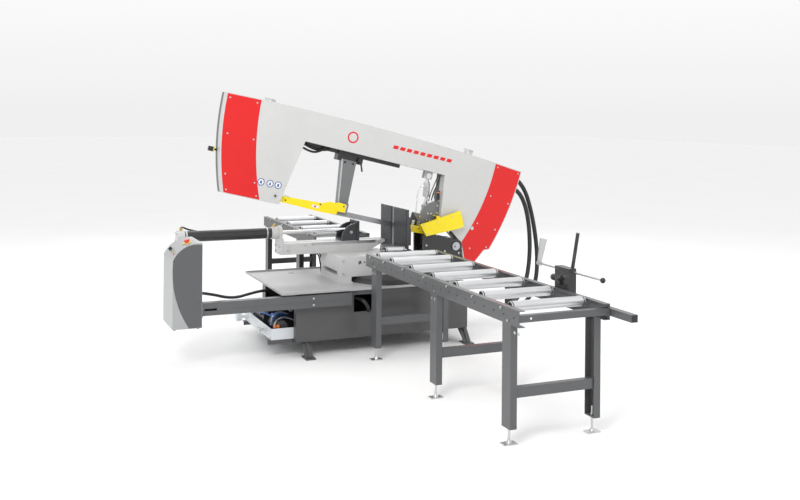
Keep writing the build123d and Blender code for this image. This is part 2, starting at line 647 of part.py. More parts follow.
# ---------------------------------------------------------------- turntable body
def make_turntable():
    disc = rod_z(0, 0, disc_bottom, disc_top, disc_r) - rod_z(0, 0, disc_bottom - 1, disc_top + 1,
                                                             column_r + column_gap)
    arm = block(arm_start, arm_end, -arm_width / 2, arm_width / 2, disc_bottom, arm_top)
    arm = arm - block(arm_start + 40, arm_end + 1, -arm_width / 2 + 8, arm_width / 2 - 8, disc_bottom + 8,
                      arm_top - 8)
    ports = block(hose_port_left, hose_port_right, arm_width / 2, hose_a_y + hose_r + 4, disc_bottom + 4, arm_top)
    return disc + arm + ports


def make_bow_cradle():
    """Two cheeks on the turntable arm that hold the bow pivot, with their cross plate."""
    outline = [(236, arm_top), (236, pivot_z + 105), (300, pivot_z + 115), (470, pivot_z + 71),
               (520, pivot_z + 59)]
    for i in range(9):
        a = math.radians(80 - 20 * i)
        outline.append((pivot_x + 60 * math.cos(a), pivot_z + 60 * math.sin(a)))
    outline += [(pivot_x + 40, pivot_z - 68), (pivot_x + 60, arm_top)]
    cheeks = []
    for y0 in (-cheek_inner - cheek_thick, cheek_inner):
        cheek = plate_xz(outline, y0, y0 + cheek_thick)
        cheeks.append(cheek - rod_y(pivot_x, y0 - 1, y0 + cheek_thick + 1, pivot_z, pin_r))
    sole = block(236, arm_end, -cheek_inner - cheek_thick, cheek_inner + cheek_thick, arm_top, arm_top + 14)
    cradle = cheeks[0] + cheeks[1] + sole
    for y0 in (lift_y - 28, lift_y + 15):
        cradle = cradle + block(lift_foot_x - 26, lift_foot_x + 26, y0, y0 + 13, arm_top + 12, lift_foot_z + 22)
    return cradle + rod_y(lift_foot_x, lift_y - 34, lift_y + 34, lift_foot_z, 12)


def make_pivot_pin():
    y1 = cheek_inner + cheek_thick
    pin = rod_y(pivot_x, -y1 - 4, y1 + 12, pivot_z, pin_r)
    washer = rod_y(pivot_x, -y1 - 12, -y1 - 0.1, pivot_z, 34)
    head = rod_y(pivot_x, -y1 - 20, -y1 - 11, pivot_z, 16)
    nut = rod_y(pivot_x, y1 + 0.1, y1 + 16, pivot_z, 32)
    return pin + washer + head + nut


def along_lift(start, end, r):
    """Round bar on the axis of the lift cylinder, from its lower pin towards the bow."""
    top_x, top_z = park_point(lift_eye_x, beam_under - lift_eye_drop)
    way = Vector(top_x - lift_foot_x, 0, top_z - lift_foot_z)
    place = Plane((lift_foot_x, lift_y, lift_foot_z), z_dir=way).offset(start)
    return extrude(place * Circle(r), amount=end - start)


def make_lift_cylinder():
    eye = rod_y(lift_foot_x, lift_y - 14, lift_y + 14, lift_foot_z, 26)
    body = eye + along_lift(0, 46, 13) + along_lift(42, lift_barrel, lift_r)
    body = body + along_lift(lift_barrel, lift_barrel + 34, lift_r + 5)
    body = body - along_lift(50, lift_barrel + 35, lift_rod_r + slip)
    return body - rod_y(lift_foot_x, lift_y - 15, lift_y + 15, lift_foot_z, 12 + slip)


def make_lift_rod():
    """Rod with its top eye and pin; the pin stands in wide holes of the bow's two ears."""
    top_x, top_z = park_point(lift_eye_x, beam_under - lift_eye_drop)
    length = math.hypot(top_x - lift_foot_x, top_z - lift_foot_z)
    rod = along_lift(200, length, lift_rod_r) + along_lift(length - 150, length - 48, lift_r - 6)
    eye = rod_y(top_x, lift_y - 13, lift_y + 13, top_z, 22)
    pin = rod_y(top_x, lift_y - 36, lift_y + 36, top_z, 10)
    caps = rod_y(top_x, lift_y - 36, lift_y - 29, top_z, 24) + rod_y(top_x, lift_y + 29, lift_y + 36, top_z, 24)
    return rod + eye + pin + caps


# ---------------------------------------------------------------- roller tables
def channel_rail(x_outer, inward, y0, y1):
    """Channel rail; inward is +1 when the table lies towards +X."""
    top = table_height - 16
    x_in = x_outer + inward * rail_flange
    a, b = sorted((x_outer, x_in))
    body = block(a, b, y0, y1, top - rail_height, top)
    c, d = sorted((x_outer + inward * rail_sheet, x_in + inward))
    return body - block(c, d, y0 - 1, y1 + 1, top - rail_height + rail_sheet, top - rail_sheet)


def outfeed_roller_places():
    places = [outfeed_near + outfeed_first + outfeed_pitch * i for i in range(6)]
    places.append(places[-1] + outfeed_last_pitch)
    return places


def infeed_roller_places():
    return [infeed_near + infeed_first + infeed_pitch * i for i in range(4)]


def make_rails(left, width, near, far, roller_places):
    rails = [channel_rail(left, 1, near, far), channel_rail(left + width, -1, near, far)]
    drilled = []
    for rail in rails:
        for y in roller_places:
            rail = rail - rod_x(left - 1, left + width + 1, y, table_height - roller_r, axle_r + slip)
        drilled.append(rail)
    return drilled


def make_outfeed_frame():
    left, right = outfeed_left, outfeed_left + outfeed_width
    rails = make_rails(left, outfeed_width, outfeed_near, outfeed_far, outfeed_roller_places())
    cross = block(left + rail_sheet, right - rail_sheet, outfeed_near + 4, outfeed_near + 9,
                  table_height - 81, table_height - 42)
    ledge = block(left + rail_sheet, right - rail_sheet, outfeed_near + 4, outfeed_near + 40,
                  table_height - 46, table_height - 42)
    cross = cross + ledge - rod_y(left + 80, outfeed_near, outfeed_near + 12, table_height - 62, 7)
    frame = rails[0] + rails[1] + cross
    return frame


def make_roller(left, width, y):
    z = table_height - roller_r
    gap = roller_gap + rail_flange
    tube = rod_x(left + gap, left + width - gap, y, z, roller_r)
    return tube + rod_x(left + 0.5, left + width - 0.5, y, z, axle_r)


def leg(x_outer, inward, y0, top):
    """Channel leg with its web outward and a foot plate for the stud."""
    a, b = sorted((x_outer, x_outer + inward * leg_web))
    c, d = sorted((x_outer + inward * leg_sheet, x_outer + inward * (leg_web + 1)))
    body = block(a, b, y0, y0 + leg_depth, leg_bottom, top)
    body = body - block(c, d, y0 + leg_sheet, y0 + leg_depth - leg_sheet, leg_bottom + 8, top + 1)
    return body - rod_z((a + b) / 2, y0 + leg_depth / 2, leg_bottom - 1, leg_bottom + 9, stud_r)


def make_leg_pair(left, width, y0, top, brace_z, brace_height):
    right = left + width
    pair = leg(left, 1, y0, top) + leg(right, -1, y0, top)
    brace = block(left + leg_sheet, right - leg_sheet, y0 + 10, y0 + 50, brace_z, brace_z + brace_height)
    hollow = block(left, right, y0 + 14, y0 + 51, brace_z - 1, brace_z + brace_height - 4)
    return pair + (brace - hollow)


outfeed_leg_places = (-2666.0, -1722.0, -694.0)
infeed_leg_places = (1090.0, 2130.0)
rail_under = table_height - 16 - rail_height


def make_outfeed_legs():
    pairs = [make_leg_pair(outfeed_left, outfeed_width, y, rail_under, 262.0, 58.0)
             for y in outfeed_leg_places]
    return group(pairs)


def make_infeed_frame():
    rails = make_rails(infeed_left, infeed_width, infeed_near, infeed_far, infeed_roller_places())
    frame = rails[0] + rails[1]
    for y in infeed_leg_places:
        frame = frame + make_leg_pair(infeed_left, infeed_width, y, rail_under, 300.0, 50.0)
        frame = frame + block(infeed_left + 3, infeed_left + infeed_width - 3, y + 10, y + 30, rail_under - 60,
                              rail_under - 6)
    frame = frame + block(infeed_left + 3, infeed_left + infeed_width - 3, infeed_far - 9, infeed_far - 4,
                          rail_under + 4, rail_under + 60)
    return frame


def stud_places():
    places = []
    for left, width, rows in ((outfeed_left, outfeed_width, outfeed_leg_places),
                              (infeed_left, infeed_width, infeed_leg_places)):
        for y in rows:
            for x in (left + leg_web / 2, left + width - leg_web / 2):
                places.append((x, y + leg_depth / 2))
    return places


def make_levelling_feet():
    feet = []
    for x, y in stud_places():
        stud = rod_z(x, y, pad_thick - 1, leg_bottom + 60, stud_r - slip)
        pad = block(x - pad_size / 2, x + pad_size / 2, y - pad_size / 3, y + pad_size / 3, 0, pad_thick)
        cone = Pos(x, y, pad_thick + 9) * Cone(17, 9, 18)
        nut_low = extrude(Plane((x, y, leg_bottom - 12)) * RegularPolygon(12, 6), amount=11.5)
        nut_high = extrude(Plane((x, y, leg_bottom + 8.5)) * RegularPolygon(12, 6), amount=11)
        feet.append(stud + pad + cone + nut_low + nut_high)
    return feet


# ---------------------------------------------------------------- length stop
stop_bar_x = outfeed_left + outfeed_width + 4
stop_bar_top = table_height - 45


def make_stop_rail():
    """Square tube along the right rail that the length stop slides on."""
    y0, y1 = outfeed_near - 192, -1500.0
    bar = block(stop_bar_x, stop_bar_x + stop_bar, y0, y1, stop_bar_top - stop_bar, stop_bar_top)
    bore = block(stop_bar_x + 3, stop_bar_x + stop_bar - 3, y0 - 1, y1 + 1, stop_bar_top - stop_bar + 3,
                 stop_bar_top - 3)
    bar = bar - bore
    for y in (outfeed_near + 60, -1600.0):
        bar = bar + block(stop_bar_x - 3.9, stop_bar_x, y, y + 40, stop_bar_top - stop_bar, stop_bar_top)
    return bar


stop_rod_x = stop_bar_x + 34


def make_stop_carriage():
    """Clamp block round the bar, with the bores for the rod and the clamp lever."""
    play = 0.6
    y0, y1 = stop_y - 70, stop_y + 86
    saddle = block(stop_bar_x, stop_bar_x + stop_bar + 12, y0, y1, stop_bar_top - stop_bar - 12,
                   stop_rod_z + 22)
    way = block(stop_bar_x - play, stop_bar_x + stop_bar + play, y0 - 1, y1 + 1,
                stop_bar_top - stop_bar - play, stop_bar_top + play)
    body = saddle - way
    body = body - rod_y(stop_rod_x, y0 - 1, y1 + 1, stop_rod_z, stop_rod_r + slip)
    body = body - rod_x(stop_rod_x + 8, stop_bar_x + stop_bar + 13, stop_y, stop_rod_z - 54, 9 + slip)
    knob = rod_y(stop_rod_x, y1, y1 + 26, stop_rod_z - 62, 6) + rod_y(stop_rod_x, y1 + 24, y1 + 78,
                                                                     stop_rod_z - 62, 17)
    return body + knob


def make_stop_lever():
    x1 = stop_bar_x + stop_bar + 12
    z = stop_rod_z - 54
    pin = rod_x(stop_rod_x + 9, x1 + 16, stop_y, z, 9)
    arm = block(x1 + 3, x1 + 13, stop_y - 12, stop_y + 12, z - 16, z + 210)
    grip = rod_z(x1 + 8, stop_y, z + 190, z + 300, 11)
    tilt = Axis((0, stop_y, z), (1, 0, 0))
    return (pin + arm + grip).rotate(tilt, 14)


def make_stop_rod():
    """Rod with a ball at the operator's end and the stop plate at the other."""
    near, far = stop_y - 372, stop_y + 340
    rod = rod_y(stop_rod_x, near, far, stop_rod_z, stop_rod_r)
    knob = Pos(stop_rod_x, near, stop_rod_z) * Sphere(13)
    hub = rod_y(stop_rod_x, far - 34, far - 8, stop_rod_z, 17)
    flag = plate_xz([(stop_rod_x - 14, stop_rod_z + 12), (stop_rod_x + 14, stop_rod_z + 12),
                     (stop_rod_x + 52, stop_rod_z + 150), (stop_rod_x + 4, stop_rod_z + 162)],
                    far - 26, far - 14)
    return rod + knob + hub + flag


# ---------------------------------------------------------------- console
console_right = console_left + console_width
console_back = console_front + console_depth


def console_profile(inset):
    """Outline of the console seen from the front: an upright case with an arched control panel."""
    x0, x1 = console_left + inset, console_right - inset
    z0 = console_bottom + inset
    low, high = console_low - inset, console_high - inset
    mid_x, mid_z = (x0 + x1) / 2 - 22, (low + high) / 2 + 32
    edges = [Polyline((x0, 0, low), (x0, 0, z0), (x1, 0, z0), (x1, 0, high)),
             ThreePointArc((x1, 0, high), (mid_x, 0, mid_z), (x0, 0, low))]
    return make_face(Curve() + edges)


def make_console_housing():
    case = slab(console_profile(0), console_front, console_back)
    case = case - slab(console_profile(2.5), console_front + 2.5, console_back - 2.5)
    for x, z, y, r in control_places():
        case = case - control_bore(x, y, z, r)
    return case


def panel_angle(x):
    """Slope of the arched panel, in degrees, at a place across the console."""
    t = (x - console_left) / console_width
    return 52 - 36 * t


def panel_point(t):
    """Point on the arched control panel; t runs from the low edge to the high edge."""
    x0, x1 = console_left, console_right
    mid_x, mid_z = (x0 + x1) / 2 - 22, (console_low + console_high) / 2 + 32
    arc = ThreePointArc((x0, 0, console_low), (mid_x, 0, mid_z), (x1, 0, console_high))
    point, slope = arc @ t, arc % t
    return point.X, point.Z, math.degrees(math.atan2(slope.Z, slope.X))


def control_places():
    """Panel place, depth and bore of each control: emergency stop, selector, three push buttons."""
    rows = (("emergency_stop", 0.66, 0.32, 16.0), ("selector_knob", 0.22, 0.62, 9.0),
            ("start_button", 0.18, 0.36, 8.0), ("stop_button", 0.18, 0.24, 8.0),
            )
    places = []
    for name, t, across, r in rows:
        x, z, slope = panel_point(t)
        places.append((x, z, console_front + across * console_depth, r))
    return places


def control_plane(index):
    """Plane on the panel at one control, its normal pointing out of the panel."""
    rows = (0.66, 0.22, 0.18, 0.18)
    x, z, slope = panel_point(rows[index])
    a = math.radians(slope)
    y = control_places()[index][2]
    return Plane((x, y, z), x_dir=(math.cos(a), 0, math.sin(a)), z_dir=(-math.sin(a), 0, math.cos(a)))


def control_bore(x, y, z, r):
    for index, place in enumerate(control_places()):
        if place[0] == x and place[2] == y:
            return extrude(control_plane(index).offset(-12) * Circle(r + 0.4), amount=24)
    raise ValueError("no control there")


def make_emergency_stop():
    place = control_plane(0)
    stem = extrude(place.offset(-26) * Circle(14), amount=36)
    head = extrude(place.offset(10) * Circle(21), amount=14)
    return stem + fillet(head.edges().sort_by(Axis((0, 0, 0), place.z_dir))[-1:], 5)


def make_selector_knob():
    place = control_plane(1)
    stem = extrude(place.offset(-20) * Circle(8), amount=24)
    dial = extrude(place.offset(3) * Circle(14), amount=9)
    grip = extrude(place.offset(12) * Rectangle(25, 7), amount=10)
    return stem + dial + grip


def make_push_button(index):
    place = control_plane(index)
    stem = extrude(place.offset(-20) * Circle(7.2), amount=24)
    cap = extrude(place.offset(3) * Circle(10), amount=5)
    return stem + cap


def make_console_arm():
    x0, x1 = console_right, -517.0
    y0 = base_front - console_arm_depth
    z0, z1 = console_arm_z, console_arm_z + console_arm_height
    tube = block(x0, x1, y0, base_front, z0, z1)
    bore = block(x0 - 1, x1 + 1, y0 + 4, base_front - 4, z0 + 4, z1 - 4)
    slot = block(x0 + 20, x0 + 110, y0 - 1, y0 + 5, z0 + 34, z0 + 50)
    return tube - bore - slot


# ---------------------------------------------------------------- pull-out tray and hydraulic unit
def make_hydraulic_tray():
    x0, x1 = drawer_left, drawer_left + drawer_length
    y0, y1 = drawer_front, drawer_front + drawer_depth
    z0, z1 = drawer_bottom, drawer_bottom + drawer_height
    box = block(x0, x1, y0, y1, z0, z1)
    box = box - block(x0 + drawer_sheet, x1 - drawer_sheet, y0 + drawer_sheet, y1 - drawer_sheet,
                      z0 + drawer_sheet, z1 + 1)
    knob = rod_x(x0 - 30, x0 + 1, y0 + 210, z0 + 40, 9) + rod_x(x0 - 40, x0 - 24, y0 + 210, z0 + 40, 19)
    drain = rod_x(x0 - 60, x0 + 1, y1 - 70, z0 + 44, 13) + rod_x(x0 - 92, x0 - 52, y1 - 70, z0 + 44, 34)
    return box + knob + drain


def make_hydraulic_unit():
    z0 = drawer_bottom + drawer_sheet
    x = drawer_left + 96
    y0 = drawer_front + 60
    tank = block(x - 70, x + 250, y0 + 250, y0 + 560, z0, z0 + 120)
    motor_z = z0 + 70
    motor = rod_y(x, y0, y0 + 190, motor_z, 54) + rod_y(x, y0 + 190, y0 + 251, motor_z, 38)
    feet = block(x - 46, x + 46, y0 + 30, y0 + 150, z0, motor_z)
    valves = block(x - 20, x + 60, y0 + 300, y0 + 390, z0 + 119, z0 + 176)
    for i in range(3):
        valves = valves + rod_x(x - 70, x - 19, y0 + 316 + 30 * i, z0 + 148, 11)
    filler = rod_z(x + 120, y0 + 480, z0 + 119, z0 + 158, 30)
    gauge = rod_y(x + 150, y0 + 262, y0 + 282, z0 + 150, 24) + rod_z(x + 150, y0 + 272, z0 + 119, z0 + 140, 7)
    return motor + feet + tank + valves + filler + gauge


# ---------------------------------------------------------------- hoses and conduit
def tube_along(points, r, name):
    """Tube along straight runs joined by tangent arcs, each arc as large as its runs allow."""
    runs = [Vector(*b) - Vector(*a) for a, b in zip(points, points[1:])]
    radii = []
    for before, after in zip(runs, runs[1:]):
        turn = math.radians(before.get_angle(after))
        radii.append(0.45 * min(before.length, after.length) / math.tan(turn / 2))
    path = FilletPolyline(*points, radius=radii)
    print(name, "radii", [round(v) for v in radii], "length", round(path.length))
    section = Plane(path @ 0, z_dir=path % 0) * Circle(r)
    return sweep(section, path=path)


conduit_route = [(console_right + 5, -420, 537), (-1560, -380, 515), (-1455, -315, 475), (-1350, -235, 452),
                 (-1240, -150, 455), (-1130, -75, 458), (-1030, -5, 448), (base_left - 8, 60, 440)]
hose_a_route = [(hose_block_right + 6, hose_a_y, 1300), (1250, hose_a_y, 1262), (1340, hose_a_y, 1160),
                (1395, hose_a_y, 1010), (1440, hose_a_y, 830), (1475, hose_a_y, 600), (1472, hose_a_y, 360),
                (1395, hose_a_y, 170), (1225, hose_a_y, 85), (1020, hose_a_y, 100), (840, hose_a_y, 200),
                (720, hose_a_y, 350), (650, hose_a_y, 510), (hose_port_right + 16, hose_a_y, 600)]
hose_b_route = [(hose_block_right + 9, hose_b_y, 1215), (1245, hose_b_y, 1160), (1315, hose_b_y, 1050),
                (1355, hose_b_y, 905), (1375, hose_b_y, 725), (1372, hose_b_y, 530), (1340, hose_b_y, 345),
                (1245, hose_b_y, 185), (1080, hose_b_y, 105), (890, hose_b_y, 130), (745, hose_b_y, 250),
                (660, hose_b_y, 410), (hose_port_right + 18, hose_b_y, 535)]


# ---------------------------------------------------------------- visible fasteners
def make_hardware():
    pieces = []
    pieces += make_levelling_feet()
    for y in outfeed_roller_places():
        pieces.append(hex_bolt(outfeed_left, y, table_height - roller_r, (-1, 0, 0)))
        pieces.append(hex_bolt(outfeed_left + outfeed_width, y, table_height - roller_r, (1, 0, 0), height=3.5))
    for y in infeed_roller_places():
        pieces.append(hex_bolt(infeed_left, y, table_height - roller_r, (-1, 0, 0)))
        pieces.append(hex_bolt(infeed_left + infeed_width, y, table_height - roller_r, (1, 0, 0)))
    for y in outfeed_leg_places:
        pieces.append(hex_bolt(outfeed_left, y + 26, rail_under + 20, (-1, 0, 0)))
    for dz in (22.0, 70.0):
        pieces.append(socket_bolt(-822, base_front - console_arm_depth, console_arm_z + dz, (0, -1, 0)))
    x0 = beam_left - 26
    for dy in (22.0, beam_depth - 22):
        for dz in (20.0, 66.0):
            pieces.append(socket_bolt(x0, beam_front + dy, bed_top + dz, (-1, 0, 0)))
    pieces.append(socket_bolt(beam_left + 42, beam_front, bed_top + 34, (0, -1, 0), r=11, height=6))
    return group(pieces)


nodes = {
    "base_frame": make_base_frame(),
    "base_feet": group([make_foot(x, side) for x in (foot_left, foot_right) for side in (-1, 1)]),
    "chip_tray": make_chip_tray(),
    "swivel_ring": make_swivel_ring(),
    "vise_pedestal": make_vise_pedestal(),
    "vise_beam": make_vise_beam(),
    "vise_end_fittings": make_vise_end_fittings(),
    "vise_cylinder": make_vise_cylinder(),
    "vise_rod": make_vise_rod(),
    "moving_jaw": make_moving_jaw(),
    "fixed_jaws": make_fixed_jaws(),
    "table_frame": make_table_frame(),
    "table_roller": make_table_roller(),
    "blade": make_blade(),
    "drive_wheel": make_wheel(driver_x, True),
    "idler_wheel": make_wheel(idler_x, False),
    "bow_frame": make_bow_frame(),
    "bow_cover": make_bow_cover(),
    "cover_bands": make_cover_bands(),
    "guide_arm": make_guide_arm(),
    "guide_guard": make_guide_guard(),
    "fixed_guide": make_fixed_guide(),
    "fixed_guards": make_fixed_guards(),
    "drive_motor": make_drive_motor(),
    "tension_knob": make_tension_knob(),
    "turntable": make_turntable(),
    "bow_cradle": make_bow_cradle(),
    "pivot_pin": make_pivot_pin(),
    "lift_cylinder": make_lift_cylinder(),
    "lift_rod": make_lift_rod(),
    "outfeed_frame": make_outfeed_frame(),
    "outfeed_legs": make_outfeed_legs(),
    "infeed_frame": make_infeed_frame(),
    "stop_rail": make_stop_rail(),
    "stop_carriage": make_stop_carriage(),
    "stop_lever": make_stop_lever(),
    "stop_rod": make_stop_rod(),
    "console_housing": make_console_housing(),
    "console_arm": make_console_arm(),
    "emergency_stop": make_emergency_stop(),
    "selector_knob": make_selector_knob(),
    "start_button": make_push_button(2),
    "stop_button": make_push_button(3),
    "hydraulic_tray": make_hydraulic_tray(),
    "hydraulic_unit": make_hydraulic_unit(),
    "console_conduit": tube_along(conduit_route, 11.0, "console_conduit"),
    "hose_a": tube_along(hose_a_route, hose_r, "hose_a"),
    "hose_b": tube_along(hose_b_route, hose_r, "hose_b"),
    "hardware": make_hardware(),
}
for number, y in enumerate(outfeed_roller_places(), 1):
    nodes[f"outfeed_roller_{number}"] = make_roller(outfeed_left, outfeed_width, y)
for number, y in enumerate(infeed_roller_places(), 1):
    nodes[f"infeed_roller_{number}"] = make_roller(infeed_left, infeed_width, y)

for node, shape in nodes.items():
    write(shape, node)
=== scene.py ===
import bmesh
import bpy
import json
import math
import random
from mathutils import Matrix, Vector


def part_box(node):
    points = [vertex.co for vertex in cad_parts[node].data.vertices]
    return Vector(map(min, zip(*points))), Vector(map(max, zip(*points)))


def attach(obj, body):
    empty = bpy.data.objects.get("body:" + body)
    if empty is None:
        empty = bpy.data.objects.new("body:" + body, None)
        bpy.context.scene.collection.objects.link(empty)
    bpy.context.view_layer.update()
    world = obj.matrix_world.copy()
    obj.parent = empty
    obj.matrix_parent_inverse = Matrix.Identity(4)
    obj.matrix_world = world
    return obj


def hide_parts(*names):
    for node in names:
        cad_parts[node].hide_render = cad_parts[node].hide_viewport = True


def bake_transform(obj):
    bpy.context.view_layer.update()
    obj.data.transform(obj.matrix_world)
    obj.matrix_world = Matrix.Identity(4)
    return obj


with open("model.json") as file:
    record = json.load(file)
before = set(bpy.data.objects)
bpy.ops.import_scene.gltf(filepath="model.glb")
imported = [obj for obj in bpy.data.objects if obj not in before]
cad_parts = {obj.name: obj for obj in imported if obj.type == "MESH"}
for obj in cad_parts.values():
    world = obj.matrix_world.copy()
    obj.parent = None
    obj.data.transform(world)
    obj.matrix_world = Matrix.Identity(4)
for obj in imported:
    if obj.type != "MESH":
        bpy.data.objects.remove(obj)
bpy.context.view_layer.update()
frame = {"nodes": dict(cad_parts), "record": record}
record = frame["record"]
joints = {j["name"]: j for j in record["behaviour"]["joints"]}
random.seed(7)

# Places are given in millimetres from the mitre axis, on the floor; X right, Y to the back, Z up.
mitre = Vector(joints["mitre_swivel"]["pos_m"])
pivot = Vector(joints["bow_tilt"]["pos_m"])
slide = Vector(joints["guide_slide"]["axis"])
tilt = math.atan2(-slide.z, slide.x)
turn = Matrix.Rotation(tilt, 4, "Y")
nodes = frame["nodes"]


def at(x, y, z):
    return Vector((mitre.x + x / 1000, mitre.y + y / 1000, z / 1000))


def on_bow(x, y, z):
    """A point given on the lowered bow, moved to where the parked bow carries it."""
    return pivot + turn @ (at(x, y, z) - pivot)


# ------------------------------------------------------------------ materials
def new_material(name):
    m = bpy.data.materials.new(name)
    m.use_nodes = True
    tree = m.node_tree
    shader = tree.nodes["Principled BSDF"]
    return m, tree, shader


def noise(tree, scale, detail=4.0, rough=0.6, stretch=(1, 1, 1)):
    coord = tree.nodes.new("ShaderNodeTexCoord")
    mapping = tree.nodes.new("ShaderNodeMapping")
    mapping.inputs["Scale"].default_value = stretch
    tree.links.new(coord.outputs["Object"], mapping.inputs["Vector"])
    tex = tree.nodes.new("ShaderNodeTexNoise")
    tex.inputs["Scale"].default_value = scale
    tex.inputs["Detail"].default_value = detail
    tex.inputs["Roughness"].default_value = rough
    tree.links.new(mapping.outputs["Vector"], tex.inputs["Vector"])
    return tex.outputs["Fac"]


def ramp(tree, value, stops):
    node = tree.nodes.new("ShaderNodeValToRGB")
    band = node.color_ramp
    while len(band.elements) < len(stops):
        band.elements.new(0.5)
    for element, (place, colour) in zip(band.elements, stops):
        element.position = place
        element.color = (*colour, 1.0)
    tree.links.new(value, node.inputs["Fac"])
    return node.outputs["Color"]


def spread(tree, value, low, high):
    node = tree.nodes.new("ShaderNodeMapRange")
    node.inputs["To Min"].default_value = low
    node.inputs["To Max"].default_value = high
    tree.links.new(value, node.inputs["Value"])
    return node.outputs["Result"]


def bump(tree, shader, value, strength, distance):
    node = tree.nodes.new("ShaderNodeBump")
    node.inputs["Strength"].default_value = strength
    node.inputs["Distance"].default_value = distance
    tree.links.new(value, node.inputs["Height"])
    tree.links.new(node.outputs["Normal"], shader.inputs["Normal"])


def shade(colour, factor):
    return tuple(max(0.0, min(1.0, c * factor)) for c in colour)


def finish_kind(name, colour, metal, rough, fine, fine_bump, cloud=0.06, stretch=(1, 1, 1), coat=0.0,
                dust=0.0):
    """Finish with cloudy colour, fine surface grain and uneven gloss."""
    m, tree, shader = new_material(name)
    big = noise(tree, 3.5, 5.0, 0.65)
    base = ramp(tree, big, [(0.25, shade(colour, 1 - cloud)), (0.75, shade(colour, 1 + cloud))])
    if dust:
        patch = noise(tree, 9.0, 8.0, 0.7)
        amount = spread(tree, patch, -dust, dust)
        mix = tree.nodes.new("ShaderNodeMix")
        mix.data_type = "RGBA"
        mix.inputs["B"].default_value = (0.42, 0.41, 0.39, 1)
        tree.links.new(amount, mix.inputs["Factor"])
        tree.links.new(base, mix.inputs["A"])
        base = mix.outputs["Result"]
    tree.links.new(base, shader.inputs["Base Color"])
    grain = noise(tree, fine, 3.0, 0.55, stretch)
    tree.links.new(spread(tree, grain, rough - 0.07, rough + 0.09), shader.inputs["Roughness"])
    bump(tree, shader, grain, fine_bump, 0.0006)
    shader.inputs["Metallic"].default_value = metal
    shader.inputs["Coat Weight"].default_value = coat
    shader.inputs["Coat Roughness"].default_value = 0.12
    return m


def paint(name, colour, rough=0.38, coat=0.25, dust=0.0, cloud=0.04):
    return finish_kind(name, colour, 0.0, rough, 620.0, 0.16, cloud, coat=coat, dust=dust)


white = paint("white_enamel", (0.56, 0.56, 0.555), 0.38, 0.1)
red = paint("red_enamel", (0.66, 0.0035, 0.004), 0.40, 0.0)
pale = paint("pale_grey_enamel", (0.54, 0.54, 0.54), 0.38)
tray_grey = paint("tray_grey_enamel", (0.40, 0.40, 0.405), 0.42, 0.1, dust=0.05)
leg_grey = paint("table_grey_enamel", (0.085, 0.088, 0.092), 0.40, dust=0.03)
base_grey = paint("cabinet_grey_enamel", (0.070, 0.070, 0.073), 0.44, dust=0.04)
console_grey = paint("console_grey_enamel", (0.34, 0.35, 0.355), 0.35)
dark_panel = paint("dark_panel_enamel", (0.080, 0.082, 0.087), 0.40)
yellow = paint("yellow_enamel", (0.88, 0.70, 0.004), 0.38, 0.10)
black = paint("black_enamel", (0.018, 0.018, 0.020), 0.36, 0.3)
arm_grey = paint("guide_arm_enamel", (0.16, 0.165, 0.168), 0.36)
blue = paint("blue_enamel", (0.02, 0.10, 0.36), 0.30, 0.4)
orange = paint("orange_plastic", (0.85, 0.20, 0.01), 0.30, 0.4)
green = paint("green_plastic", (0.02, 0.33, 0.06), 0.25, 0.5)
red_plastic = paint("red_plastic", (0.70, 0.01, 0.01), 0.22, 0.7)
white_tray = paint("white_tray_enamel", (0.64, 0.67, 0.70), 0.36)
steel = finish_kind("ground_steel", (0.52, 0.53, 0.54), 1.0, 0.30, 240.0, 0.20, 0.10, (1, 1, 9))
blade_steel = finish_kind("blade_steel", (0.40, 0.40, 0.41), 1.0, 0.27, 300.0, 0.12, 0.12, (12, 1, 1))
zinc = finish_kind("zinc_plate", (0.60, 0.61, 0.62), 1.0, 0.33, 180.0, 0.15, 0.12)
chrome = finish_kind("hard_chrome", (0.80, 0.81, 0.82), 1.0, 0.10, 500.0, 0.05, 0.04)
roller_steel = finish_kind("roller_steel", (0.66, 0.67, 0.68), 0.85, 0.34, 130.0, 0.12, 0.07, (1, 14, 14))
iron = finish_kind("cast_iron", (0.115, 0.115, 0.118), 0.75, 0.50, 340.0, 0.55, 0.14)
jaw_iron = finish_kind("jaw_iron", (0.070, 0.073, 0.078), 0.45, 0.42, 300.0, 0.35, 0.12)
rubber = finish_kind("black_rubber", (0.014, 0.014, 0.015), 0.0, 0.46, 700.0, 0.35, 0.15)
soft_black = finish_kind("black_plastic", (0.020, 0.020, 0.022), 0.0, 0.40, 900.0, 0.25, 0.12)
brass = finish_kind("brass", (0.62, 0.42, 0.12), 1.0, 0.28, 200.0, 0.15, 0.10)
pictogram_blue = paint("pictogram_blue", (0.02, 0.07, 0.32), 0.30)
pictogram_white = paint("pictogram_white", (0.78, 0.78, 0.78), 0.35)


def clear_material():
    m, tree, shader = new_material("clear_hose")
    shade_noise = noise(tree, 40.0)
    tree.links.new(ramp(tree, shade_noise, [(0.3, (0.80, 0.84, 0.86)), (0.7, (0.92, 0.94, 0.95))]),
                   shader.inputs["Base Color"])
    shader.inputs["Roughness"].default_value = 0.12
    shader.inputs["Transmission Weight"].default_value = 0.75
    shader.inputs["IOR"].default_value = 1.38
    return m


